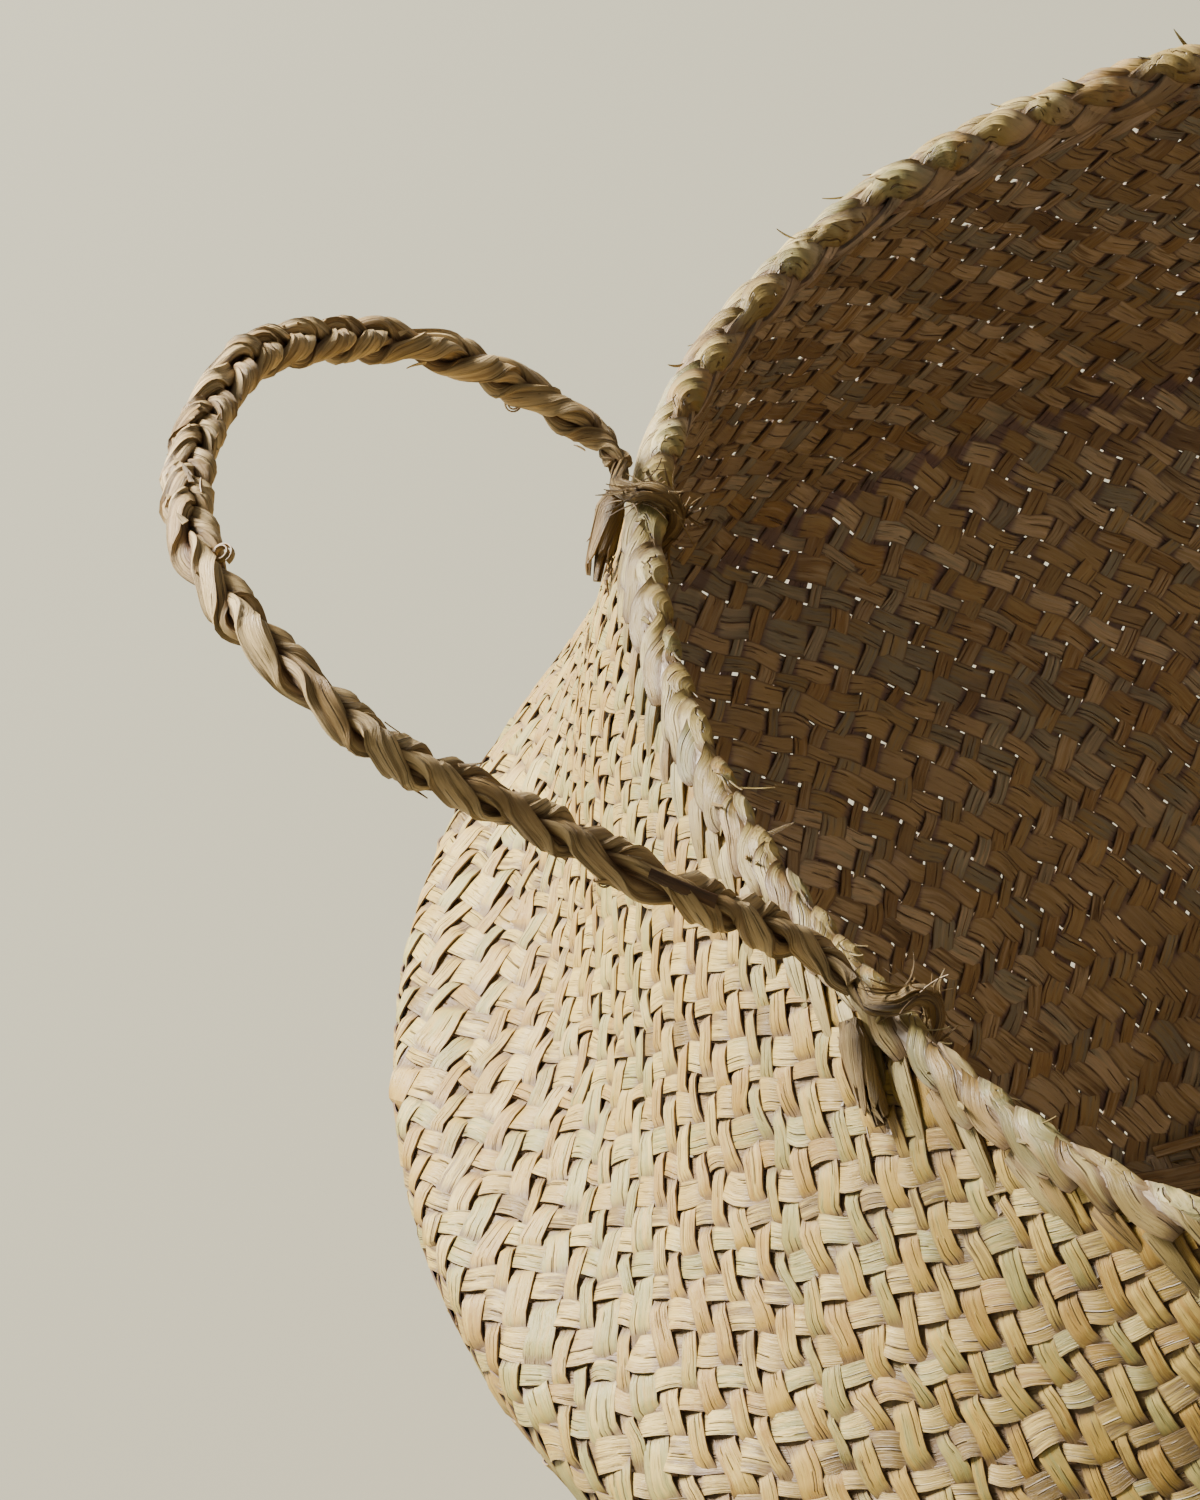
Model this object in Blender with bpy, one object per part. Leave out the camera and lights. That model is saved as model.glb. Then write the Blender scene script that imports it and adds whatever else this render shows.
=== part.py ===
"""A round belly basket, plaited from grass strips, with two rope handles that loop through its wall.

Metres, +Z up. The origin is the centre of the bottom, on the ground, and the handles stand out along X.
The real wall is one plait. Here it is three shells, which meet at the folds that the real one has.
"""

import math

import bmesh
import bpy
import numpy as np

# The body's sizes
BELLY_RADIUS = 0.200
BELLY_HEIGHT = 0.136
BASE_RADIUS = 0.136
RIM_HEIGHT = 0.223
WALL_THICKNESS = 0.0030
BASE_THICKNESS = 0.0030
UPPER_FOLD_RADIUS = 0.012
LOWER_FOLD_RADIUS = 0.018
LOWER_SAG = 0.005

# What the handles do to the wall: they lift the widest ring and leave a hollow shoulder above it.
# The shoulder's middle lies a few degrees behind each handle.
BELLY_LIFT = 0.005
SHOULDER_HOLLOW = 0.018
SHOULDER_BEARING = 8.0
SHOULDER_NARROWNESS = 8
SHOULDER_SOFTNESS = 0.08
SHOULDER_ONSET = 1.8
SHOULDER_FADE = 3.2

# The mouth's sizes: a rounded oval, wider across the handles than between them
MOUTH_RADIUS = 0.156
MOUTH_OVAL = -0.0127
MOUTH_SQUARE = -0.0024
MOUTH_FRONT_PULL = 0.0012
MOUTH_CORNERS = 0.0048
RIM_DIP = -0.0033
RIM_LEAN = 0.0051
RIM_TWIST = -0.0016

# The edge's sizes
CORD_RADIUS = 0.0024
BAND_HEIGHT = 0.012
BAND_THICKNESS = 0.0012

# The handles' sizes. The ends lie these degrees round the mouth from its side, and the loop is lifted
# LOOP_LIFT degrees above level.
ROPE_RADIUS = 0.0037
BACK_END_ANGLE = 31.0
FRONT_END_ANGLE = 27.0
LOOP_DEPTH = 0.108
LOOP_LIFT = 38.0
STRAND_RADIUS = 0.0026
STRAND_RUN = 0.0045
STRAND_BEND = 0.0036
TAIL_RADIUS = 0.0030
TAIL_LENGTH = 0.0132
TAIL_SLOPE = 38.0
TAIL_SET_BACK = 0.0055
TAIL_TIP_SHARE = 0.45

# The loop's outline, as shares of the way from the back end to the front and of the depth
LOOP_SHARES = (
    (0.000, 0.00), (-0.045, 0.022), (-0.075, 0.08), (-0.105, 0.19), (-0.100, 0.35), (-0.030, 0.54),
    (0.080, 0.72), (0.220, 0.842), (0.380, 0.94), (0.550, 0.996), (0.680, 0.965), (0.790, 0.87),
    (0.865, 0.75), (0.880, 0.62), (0.900, 0.50), (0.932, 0.32), (0.943, 0.13), (0.960, 0.05),
    (1.000, 0.00),
)

# Clearances
TOUCH_GAP = 0.0003
HOLE_CLEARANCE = 0.0005
CUT_OVERRUN = 0.0040

# How finely the round shapes are divided
SEGMENTS = 72
UPPER_ROWS = 11
LOWER_ROWS = 8
BAND_ROWS = 2
ROW_EASE = 1.4
ROPE_POINTS = 36
ROPE_END_POINTS = 4
STRAND_POINTS = 26
TAIL_POINTS = 6
PATH_STEPS = 12
SLOPE_STEP_SHARE = 0.0005


def rim_radius(angle):
    """How far the mouth's edge lies from the middle, at an angle round Z."""
    across = MOUTH_OVAL * np.cos(2 * angle) + MOUTH_SQUARE * np.cos(4 * angle)
    to_front = MOUTH_FRONT_PULL * np.sin(angle) + MOUTH_CORNERS * np.sin(3 * angle)
    return MOUTH_RADIUS + across + to_front


def rim_height(angle):
    wave = RIM_LEAN * np.sin(angle) + RIM_DIP * np.cos(2 * angle) + RIM_TWIST * np.sin(3 * angle)
    return RIM_HEIGHT + wave


def fold(share, softness):
    """A hyperbola: 0 with no slope at the widest ring, 1 at the wall's far edge, nearly straight between."""
    reach = np.sqrt(1 + softness**2) - softness
    return (np.sqrt(share**2 + softness**2) - softness) / reach


def belly_height(angle):
    """How high the widest ring stands: highest under the handles."""
    return BELLY_HEIGHT + BELLY_LIFT * np.cos(angle) ** 2


def shoulder(angle, share):
    """How deep the upper wall is hollowed: most above the widest ring, near the handles."""
    bearing = math.radians(SHOULDER_BEARING)
    nearness = np.abs(np.cos(angle)) * math.cos(bearing) + np.sin(angle) * math.sin(bearing)
    deepest = SHOULDER_ONSET / (SHOULDER_ONSET + SHOULDER_FADE)
    deepest = deepest**SHOULDER_ONSET * (1 - deepest) ** SHOULDER_FADE
    bent = np.maximum(fold(share, SHOULDER_SOFTNESS), 0) ** SHOULDER_ONSET
    section = bent * np.maximum(1 - share, 0) ** SHOULDER_FADE / deepest
    return SHOULDER_HOLLOW * np.maximum(nearness, 0) ** SHOULDER_NARROWNESS * section


def wall_outside(angle, level):
    """A point on the outside. Level -1 is the bottom edge, 0 the widest ring and 1 the mouth's edge."""
    angle, level = np.broadcast_arrays(angle, level)
    share = np.abs(level)
    belly = belly_height(angle)
    rise = rim_height(angle) - belly
    top_inset = BELLY_RADIUS - rim_radius(angle)
    slant = np.hypot(rise, top_inset)
    hollow = shoulder(angle, share)
    top_radius = BELLY_RADIUS - top_inset * fold(share, UPPER_FOLD_RADIUS * top_inset / rise**2)
    top_radius = top_radius - hollow * rise / slant
    top_height = belly + rise * share - hollow * top_inset / slant
    base_inset = BELLY_RADIUS - BASE_RADIUS
    base_softness = LOWER_FOLD_RADIUS * base_inset / belly**2
    sag = LOWER_SAG * np.sin(math.pi * share) ** 2
    base_radius = BELLY_RADIUS - base_inset * fold(share, base_softness) - sag
    radius = np.where(level > 0, top_radius, base_radius)
    height = np.where(level > 0, top_height, belly * (1 - share))
    return np.stack([radius * np.cos(angle), radius * np.sin(angle), height], axis=-1)


def unit(vectors):
    return vectors / np.linalg.norm(vectors, axis=-1, keepdims=True)


def wall_directions(angle, level):
    """Unit vectors at a point of the wall: along the ring, up the wall, and out of it."""
    step = SLOPE_STEP_SHARE
    along = unit(wall_outside(angle + step, level) - wall_outside(angle - step, level))
    up = unit(wall_outside(angle, level + step) - wall_outside(angle, level - step))
    return along, up, unit(np.cross(along, up))


def wall_inside(angle, level, depth):
    """The point that lies this deep under the outside, square to the wall."""
    return wall_outside(angle, level) - depth * wall_directions(angle, level)[2]


def finish(name, colour, roughness):
    material = bpy.data.materials.new(name)
    material.use_nodes = True
    shader = material.node_tree.nodes["Principled BSDF"]
    shader.inputs["Base Color"].default_value = (*colour, 1)
    shader.inputs["Roughness"].default_value = roughness
    shader.inputs["Metallic"].default_value = 0
    return material


def place(body, collection, parent=None):
    collection.objects.link(body)
    body.parent = parent
    return body


def ring_shell(name, rows, collection, material):
    """A closed body: each row is one corner of its section, carried once round the basket."""
    corners = np.arange(rows.shape[0] * rows.shape[1]).reshape(rows.shape[:2])
    beside = np.roll(corners, -1, axis=1)
    above = np.roll(corners, -1, axis=0)
    faces = np.stack([corners, beside, np.roll(beside, -1, axis=0), above], axis=-1)
    mesh = bpy.data.meshes.new(name)
    mesh.from_pydata(rows.reshape(-1, 3).tolist(), [], faces.reshape(-1, 4).tolist())
    shaped = bmesh.new()
    shaped.from_mesh(mesh)
    bmesh.ops.recalc_face_normals(shaped, faces=shaped.faces)
    shaped.to_mesh(mesh)
    shaped.free()
    mesh.materials.append(material)
    mesh.shade_smooth()
    return place(bpy.data.objects.new(name, mesh), collection)


def wall_shell(name, levels, outer_depth, inner_depth, collection, material):
    """A ring of wall between two depths. The levels are rows, one value for each segment."""
    angles = ring_angles()
    outside = wall_inside(angles, levels, outer_depth)
    inside = wall_inside(angles, levels[::-1], inner_depth)
    return ring_shell(name, np.concatenate([outside, inside]), collection, material)


def ring_angles():
    return np.linspace(0, 2 * math.pi, SEGMENTS, endpoint=False)


def smooth_path(corners, count):
    """Evenly spaced points along a Catmull-Rom curve through the corners."""
    corners = np.asarray(corners, dtype=float)
    first = 2 * corners[:1] - corners[1:2]
    last = 2 * corners[-1:] - corners[-2:-1]
    held = np.concatenate([first, corners, last])
    before, start, end, after = (row[:, None] for row in (held[:-3], held[1:-2], held[2:-1], held[3:]))
    share = np.linspace(0, 1, PATH_STEPS, endpoint=False)[None, :, None]
    linear = (end - before) * share
    square = (2 * before - 5 * start + 4 * end - after) * share**2
    cube = (3 * start - before - 3 * end + after) * share**3
    fine = (start + (linear + square + cube) / 2).reshape(-1, 3)
    fine = np.concatenate([fine, corners[-1:]])
    along = np.concatenate([[0], np.cumsum(np.linalg.norm(np.diff(fine, axis=0), axis=1))])
    even = np.linspace(0, along[-1], count)
    return np.stack([np.interp(even, along, fine[:, axis]) for axis in range(3)], axis=-1)


def tube(name, points, radius, collection, material, shares=None, closed=False, parent=None):
    """A bevelled curve through the points. Shares, if given, scale its radius at each point."""
    curve = bpy.data.curves.new(name, "CURVE")
    curve.dimensions = "3D"
    curve.bevel_depth = radius
    curve.bevel_resolution = 2
    curve.use_fill_caps = not closed
    spline = curve.splines.new("POLY")
    spline.points.add(len(points) - 1)
    spline.use_cyclic_u = closed
    spline.use_smooth = True
    for index, (point, place_at) in enumerate(zip(spline.points, points)):
        point.co = (*place_at, 1)
        point.radius = 1 if shares is None else shares[index]
    curve.materials.append(material)
    return place(bpy.data.objects.new(name, curve), collection, parent)


def as_mesh(body):
    """The same body as a mesh, for a curve that a Boolean has to read."""
    graph = bpy.context.evaluated_depsgraph_get()
    mesh = bpy.data.meshes.new_from_object(body.evaluated_get(graph))
    name = body.name
    matrix = body.matrix_world.copy()
    collections = list(body.users_collection)
    bpy.data.objects.remove(body)
    mesh.name = name
    solid = bpy.data.objects.new(name, mesh)
    solid.matrix_world = matrix
    for collection in collections:
        collection.objects.link(solid)
    return solid


def base_mat(collection, material):
    """The flat bottom, a thin disc that fits inside the wall's lower edge."""
    edge = wall_inside(0.0, -1.0, WALL_THICKNESS)[0]
    bpy.ops.mesh.primitive_cylinder_add(
        vertices=SEGMENTS,
        radius=edge - TOUCH_GAP,
        depth=BASE_THICKNESS,
        location=(0, 0, BASE_THICKNESS / 2),
    )
    disc = bpy.context.object
    disc.name = disc.data.name = "base_mat"
    for owner in disc.users_collection:
        owner.objects.unlink(disc)
    disc.data.materials.append(material)
    return place(disc, collection)


def walls(collection, straw, inner_straw):
    """The lower wall, the upper wall and the band that the strips' ends make inside the edge."""
    angles = ring_angles()
    rise = rim_height(angles) - belly_height(angles)
    upper_steps = np.linspace(0, 1, UPPER_ROWS + 1)[:, None] ** ROW_EASE
    upper_start = TOUCH_GAP / 2 / rise
    upper_levels = upper_start + (1 - upper_start) * upper_steps
    lower_steps = np.linspace(0, 1, LOWER_ROWS + 1)[:, None] ** ROW_EASE
    lower_start = TOUCH_GAP / 2 / BELLY_HEIGHT
    lower_levels = -(lower_start + (1 - lower_start) * lower_steps) + 0 * rise
    wall_shell("lower_wall", lower_levels, 0.0, WALL_THICKNESS, collection, straw)
    upper_wall = wall_shell("upper_wall", upper_levels, 0.0, WALL_THICKNESS, collection, straw)
    band_steps = np.linspace(0, 1, BAND_ROWS + 1)[:, None]
    band_levels = 1 - BAND_HEIGHT / slant_height(angles) * (1 - band_steps)
    band_start = WALL_THICKNESS + TOUCH_GAP
    band_end = band_start + BAND_THICKNESS
    wall_shell("rim_band", band_levels, band_start, band_end, collection, inner_straw)
    return upper_wall


def slant_height(angle):
    """The upper wall's length up its slope."""
    rise = rim_height(angle) - belly_height(angle)
    return np.hypot(rise, BELLY_RADIUS - rim_radius(angle))


def cord_centre(angle):
    """The middle of the twisted cord, which sits on the wall's top edge."""
    outward, up = wall_directions(angle, 1.0)[2], wall_directions(angle, 1.0)[1]
    return wall_outside(angle, 1.0) - outward * WALL_THICKNESS / 2 + up * (TOUCH_GAP + CORD_RADIUS)


def rope_end(angle):
    """The end of a handle's rope, beside the cord on the outside."""
    outward = wall_directions(angle, 1.0)[2]
    return cord_centre(angle) + outward * (CORD_RADIUS + TOUCH_GAP + ROPE_RADIUS)


def loop_frame(back, front):
    """Where the loop turns, its chord's length, and unit vectors along the chord and out along the loop."""
    middle = (back + front) / 2
    along = unit(front - back)
    level_out = middle * (1, 1, 0)
    level_out = unit(level_out - (level_out @ along) * along)
    upward = np.cross(level_out, along)
    upward = upward * np.sign(upward[2])
    lift = math.radians(LOOP_LIFT)
    out = math.cos(lift) * level_out + math.sin(lift) * upward
    return middle, np.linalg.norm(front - back), along, out


def rope(side, back, front, collection, material):
    """One handle: a rope whose rounded ends turn on the line between them, where its parent empty stands."""
    middle, length, along, out = loop_frame(back, front)
    shares = np.array(LOOP_SHARES)
    corners = back + length * shares[:, :1] * along + LOOP_DEPTH * shares[:, 1:] * out
    centres = smooth_path(corners, ROPE_POINTS)
    angles = np.linspace(0, math.pi / 2, ROPE_END_POINTS, endpoint=False)[:, None]
    start_cap = centres[0] + unit(centres[0] - centres[1]) * ROPE_RADIUS * np.cos(angles)
    end_cap = centres[-1] + unit(centres[-1] - centres[-2]) * ROPE_RADIUS * np.cos(angles[::-1])
    points = np.concatenate([start_cap, centres, end_cap])
    cap_shares = np.sin(angles[:, 0])
    cap_shares[0] = TAIL_TIP_SHARE / 2
    widths = np.concatenate([cap_shares, np.ones(ROPE_POINTS), cap_shares[::-1]])
    hinge = place(bpy.data.objects.new(f"{side}_handle_hinge", None), collection)
    hinge.location = middle
    return tube(
        f"{side}_handle_rope", points - middle, ROPE_RADIUS, collection, material, widths, parent=hinge
    )


def hole_depth():
    """How far under the wall's top edge the strands go through it, just below the band."""
    return BAND_HEIGHT + TOUCH_GAP + HOLE_CLEARANCE + STRAND_RADIUS


def wrap_angle(end_angle, turn):
    """The strands pass over the edge a little nearer the front than the rope's end."""
    run = ROPE_RADIUS + TOUCH_GAP + STRAND_RUN
    return end_angle + turn * run / rim_radius(end_angle)


def strand_wrap(name, end_angle, turn, collection, material):
    """Strands from the rope's end, over the cord, down inside the band and into the wall, under the tail."""
    angle = wrap_angle(end_angle, turn)
    along, up, outward = wall_directions(angle, 1.0)
    centre = cord_centre(angle)
    reach = CORD_RADIUS + HOLE_CLEARANCE + STRAND_RADIUS
    inside = WALL_THICKNESS / 2 + TOUCH_GAP + BAND_THICKNESS + HOLE_CLEARANCE + STRAND_RADIUS
    drop = hole_depth() + TOUCH_GAP + CORD_RADIUS
    forward = along * turn
    start = rope_end(end_angle) + forward * (ROPE_RADIUS + TOUCH_GAP)
    over = np.radians(np.arange(30, 150, 25))
    arc = centre + reach * (np.cos(over)[:, None] * outward + np.sin(over)[:, None] * up)
    down = centre - outward * inside - up * drop * np.array([[0.0], [0.4]])
    turn_in = np.radians(np.arange(0, 91, 30))
    corner = centre - outward * (inside - STRAND_BEND) - up * (drop - STRAND_BEND)
    to_corner = np.cos(turn_in)[:, None] * outward + np.sin(turn_in)[:, None] * up
    corner_arc = corner - STRAND_BEND * to_corner
    out_end = centre - up * drop
    halfway = (start + forward * STRAND_RUN / 2)[None]
    corners = np.concatenate([start[None], halfway, arc, down, corner_arc, out_end[None]])
    return tube(name, smooth_path(corners, STRAND_POINTS), STRAND_RADIUS, collection, material)


def rope_tail(name, end_angle, turn, collection, material):
    """The rope's bound end, tapering along and down the outside from under the rope."""
    slope = math.radians(TAIL_SLOPE)
    shares = np.linspace(0, 1, TAIL_POINTS)
    forward = TAIL_LENGTH * math.cos(slope) * shares - TAIL_SET_BACK
    down = STRAND_RADIUS + 6 * TOUCH_GAP + TAIL_LENGTH * math.sin(slope) * shares
    angles = wrap_angle(end_angle, turn) + turn * forward / rim_radius(end_angle)
    levels = 1 - down / slant_height(angles)
    widths = 1 - (1 - TAIL_TIP_SHARE) * shares
    outward = wall_directions(angles, levels)[2]
    points = wall_outside(angles, levels) + outward * (TOUCH_GAP + TAIL_RADIUS * widths[:, None])
    return tube(name, points, TAIL_RADIUS, collection, material, widths)


def strand_hole(name, upper_wall, end_angle, turn, cutters):
    """Cuts the hole that the strands pass through."""
    angle = wrap_angle(end_angle, turn)
    along, up, outward = wall_directions(angle, 1.0)
    middle = wall_outside(angle, 1.0) - outward * WALL_THICKNESS / 2 - up * hole_depth()
    reach = WALL_THICKNESS / 2 + CUT_OVERRUN
    ends = np.stack([middle - outward * reach, middle + outward * reach])
    cutter = as_mesh(tube(name, ends, STRAND_RADIUS + HOLE_CLEARANCE, cutters, upper_wall.active_material))
    welded = bmesh.new()
    welded.from_mesh(cutter.data)
    bmesh.ops.remove_doubles(welded, verts=welded.verts, dist=WALL_THICKNESS / 1000)
    bmesh.ops.recalc_face_normals(welded, faces=welded.faces)
    welded.to_mesh(cutter.data)
    welded.free()
    cutter.hide_render = True
    cutter.display_type = "WIRE"
    cut = upper_wall.modifiers.new(name, "BOOLEAN")
    cut.operation = "DIFFERENCE"
    cut.solver = "EXACT"
    cut.object = cutter


def rim_cord(collection, material):
    """The twisted cord along the mouth's edge, as one closed tube."""
    angles = ring_angles()
    return tube("rim_cord", cord_centre(angles), CORD_RADIUS, collection, material, closed=True)


def handle(side, upper_wall, collection, cutters, rope_straw, strand_straw):
    """A rope loop with its two fastenings. The left one stands at -X and the right one mirrors it."""
    back_angle = math.radians(BACK_END_ANGLE)
    front_angle = -math.radians(FRONT_END_ANGLE)
    if side == "left":
        back_angle, front_angle = math.pi - back_angle, math.pi - front_angle
    rope(side, rope_end(back_angle), rope_end(front_angle), collection, rope_straw)
    turn = 1 if side == "left" else -1
    for end, angle in (("back", back_angle), ("front", front_angle)):
        strand_wrap(f"{side}_{end}_wrap", angle, turn, collection, strand_straw)
        rope_tail(f"{side}_{end}_tail", angle, turn, collection, rope_straw)
        strand_hole(f"{side}_{end}_hole", upper_wall, angle, turn, cutters)


def build():
    for thing in list(bpy.data.objects):
        bpy.data.objects.remove(thing)
    basket = bpy.data.collections.new("belly_basket")
    cutters = bpy.data.collections.new("cutters")
    for collection in (basket, cutters):
        bpy.context.scene.collection.children.link(collection)
    straw = finish("pale_straw", (0.56, 0.45, 0.28), 0.6)
    inner_straw = finish("brown_straw", (0.34, 0.25, 0.15), 0.65)
    rope_straw = finish("rope_straw", (0.36, 0.28, 0.17), 0.6)
    base_mat(basket, inner_straw)
    upper_wall = walls(basket, straw, inner_straw)
    rim_cord(basket, straw)
    for side in ("left", "right"):
        handle(side, upper_wall, basket, cutters, rope_straw, straw)


build()
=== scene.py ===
import math

import bpy
import numpy as np
from mathutils import Matrix, Vector


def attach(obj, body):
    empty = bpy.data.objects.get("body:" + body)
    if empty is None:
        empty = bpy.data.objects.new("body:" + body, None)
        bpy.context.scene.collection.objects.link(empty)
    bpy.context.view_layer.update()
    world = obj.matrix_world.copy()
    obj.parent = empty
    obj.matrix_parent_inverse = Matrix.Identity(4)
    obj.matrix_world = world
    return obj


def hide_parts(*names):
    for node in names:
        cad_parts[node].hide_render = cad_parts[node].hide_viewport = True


# Belly basket: plaited grass strips, a braided edge and two rope handles.
# Metres, +Z up, in the CAD's own frame. Lengths in the dictionaries are metres unless a note says otherwise.

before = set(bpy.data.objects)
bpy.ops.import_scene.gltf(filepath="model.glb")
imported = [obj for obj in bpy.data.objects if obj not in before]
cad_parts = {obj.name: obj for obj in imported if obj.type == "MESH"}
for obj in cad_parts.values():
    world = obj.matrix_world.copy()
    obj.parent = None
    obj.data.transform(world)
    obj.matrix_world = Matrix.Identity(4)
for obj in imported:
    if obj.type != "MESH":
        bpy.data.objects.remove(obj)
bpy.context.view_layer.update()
dice = np.random.default_rng(7)

basket = {
    "bellyRadius": 0.200, "bellyHeight": 0.136, "bellyLift": 0.005, "baseRadius": 0.136, "rimHeight": 0.223,
    "upperFold": 0.012, "lowerFold": 0.018, "lowerSag": 0.005,
    "hollow": 0.018, "hollowBearing": math.radians(8), "hollowNarrow": 8, "hollowSoft": 0.08,
    "hollowStart": 1.8, "hollowEnd": 3.2,
    "mouthRadius": 0.156, "mouthOval": -0.0127, "mouthSquare": -0.0024,
    "mouthPull": 0.0012, "mouthCorners": 0.0048,
    "rimDip": -0.0033, "rimLean": 0.0051, "rimTwist": -0.0016,
    "midDepth": 0.0009,        # how deep under the outside the strips' middle lies
    "toeLength": 0.014,        # how far the wall's strips run on under the base
    "toeHeight": 0.0012,
    "cornerSoft": 0.0028,      # rounding of the bottom corner
    "softStart": 0.03, "softOver": 0.02,      # where that smoothing sets in, down from the widest ring
    "lumpStart": 0.02, "lumpOver": 0.03,      # how far up from the strips' lower ends the slow waves set in
}


# shape of the body

def unit(vectors):
    # each vector over its own length
    return vectors / np.maximum(np.linalg.norm(vectors, axis=-1, keepdims=True), 1e-12)


def turned(angle, first, second):
    # first, turned by the angle towards second
    return np.cos(angle)[..., None] * first + np.sin(angle)[..., None] * second


def onRing(angle, radius, height):
    # the point at this angle round Z, radius and height
    return np.stack([radius * np.cos(angle), radius * np.sin(angle), height], axis=-1)


def runAlong(path):
    # the distance along a path of points, from 0
    return np.concatenate([[0], np.cumsum(np.linalg.norm(np.diff(path, axis=0), axis=1))])


def readAt(places, marks, rows):
    # rows of values stand at the marks; read between them at the places
    return np.stack([np.interp(places, marks, column) for column in np.transpose(rows)], axis=-1)


def rimRadius(angle):
    # sum of cosines and sines of the angle round Z: an oval with softened corners
    b = basket
    return (b["mouthRadius"] + b["mouthOval"] * np.cos(2 * angle) + b["mouthSquare"] * np.cos(4 * angle)
            + b["mouthPull"] * np.sin(angle) + b["mouthCorners"] * np.sin(3 * angle))


def rimHeight(angle):
    # sum of cosines and sines too: the mouth leans, and dips at the handles
    b = basket
    return (b["rimHeight"] + b["rimLean"] * np.sin(angle) + b["rimDip"] * np.cos(2 * angle)
            + b["rimTwist"] * np.sin(3 * angle))


def fold(share, softness):
    # hyperbola: flat at 0, straight further on, 1 at 1
    return (np.sqrt(share**2 + softness**2) - softness) / (np.sqrt(1 + softness**2) - softness)


def bellyHeight(angle):
    # height of the widest ring, lifted towards the handles by the cosine squared
    return basket["bellyHeight"] + basket["bellyLift"] * np.cos(angle) ** 2


def shoulder(angle, share):
    # how deep the upper wall is hollowed: a power of the cosine round the ring, so most beside the handles,
    # times a power of the share up the wall and one of the share down from the mouth, 1 at the deepest
    b = basket
    near = np.abs(np.cos(angle)) * math.cos(b["hollowBearing"]) + np.sin(angle) * math.sin(b["hollowBearing"])
    start, end = b["hollowStart"], b["hollowEnd"]
    deepest = (start / (start + end)) ** start * (end / (start + end)) ** end
    section = np.maximum(fold(share, b["hollowSoft"]), 0) ** start * np.maximum(1 - share, 0) ** end
    return b["hollow"] * np.maximum(near, 0) ** b["hollowNarrow"] * section / deepest


def skin(angle, level):
    # outside of the wall: level -1 bottom edge, 0 widest ring, 1 mouth. Both halves run straight but for a
    # hyperbola at the widest ring; the lower one also sags by a sine, and the upper one is hollowed.
    b = basket
    angle, level = np.broadcast_arrays(angle, level)
    share = np.abs(level)
    belly = bellyHeight(angle)
    rise = rimHeight(angle) - belly
    inset = b["bellyRadius"] - rimRadius(angle)
    slant = np.hypot(rise, inset)
    hollow = shoulder(angle, share)
    top = b["bellyRadius"] - inset * fold(share, b["upperFold"] * inset / rise**2) - hollow * rise / slant
    baseInset = b["bellyRadius"] - b["baseRadius"]
    low = (b["bellyRadius"] - baseInset * fold(share, b["lowerFold"] * baseInset / belly**2)
           - b["lowerSag"] * np.sin(math.pi * share) ** 2)
    radius = np.where(level > 0, top, low)
    height = np.where(level > 0, belly + rise * share - hollow * inset / slant, belly * (1 - share))
    return onRing(angle, radius, height)


def skinNormal(angle, level):
    # outward: the steps along the ring and up the wall, crossed
    step = 5e-4
    along = skin(angle + step, level) - skin(angle - step, level)
    up = skin(angle, level + step) - skin(angle, level - step)
    return unit(np.cross(along, up))


def lowerProfile(angle):
    # radius and height of the strips' middle below the widest ring, at even steps of the run down from it:
    # the wall's own line, then a flat toe under the base, smoothed where they meet
    b = basket
    levels = np.linspace(0, -1, 400)
    wall = skin(angle, levels) - b["midDepth"] * skinNormal(angle, levels)
    wall = np.stack([np.hypot(wall[:, 0], wall[:, 1]), wall[:, 2]], -1)
    toe = np.linspace(0, b["toeLength"], 60)[1:, None]
    toe = np.array([wall[-1, 0], b["toeHeight"]]) - toe * np.array([1.0, 0.0])
    line = np.concatenate([wall, toe])
    line[:, 1] = np.maximum(line[:, 1], b["toeHeight"])
    run = runAlong(line)
    even = np.linspace(0, run[-1], lowSteps)
    line = readAt(even, run, line)
    reach = int(3 * b["cornerSoft"] / even[1])
    kernel = np.exp(-0.5 * (np.arange(-reach, reach + 1) * even[1] / b["cornerSoft"]) ** 2)
    kernel /= kernel.sum()
    padded = np.pad(line, ((reach, reach), (0, 0)), mode="reflect", reflect_type="odd")
    soft = np.stack([np.convolve(padded[:, axis], kernel, mode="valid") for axis in (0, 1)], axis=-1)
    mix = np.clip((even - b["softStart"]) / b["softOver"], 0, 1)[:, None]
    return run[-1], line * (1 - mix) + soft * mix


lowSteps = 700
handleRun, handleLine = lowerProfile(0.0)
frontRun, frontLine = lowerProfile(math.pi / 2)
lowestRun = -(handleRun + frontRun) / 2


def upperTable():
    # run up the wall from the widest ring against the level, averaged round the basket
    levels = np.linspace(0, 1, 300)
    rings = np.linspace(0, 2 * math.pi, 48, endpoint=False)[:, None]
    points = skin(rings, levels[None])
    steps = np.linalg.norm(np.diff(points, axis=1), axis=-1).mean(axis=0)
    return levels, np.concatenate([[0], np.cumsum(steps)])


upLevels, upRun = upperTable()
highestRun = upRun[-1]

# slow waves in the wall: count round the ring, shift, turn per metre up the wall, and size
lumps = [(3, 0.9, 21, 0.0006), (5, 2.3, 34, 0.0004), (9, 4.1, 60, 0.0003), (2, 1.2, 46, 0.0005)]


def turnTo(angle, centre):
    # the angle from the centre, between minus and plus half a turn
    return (angle - centre + math.pi) % (2 * math.pi) - math.pi


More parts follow.
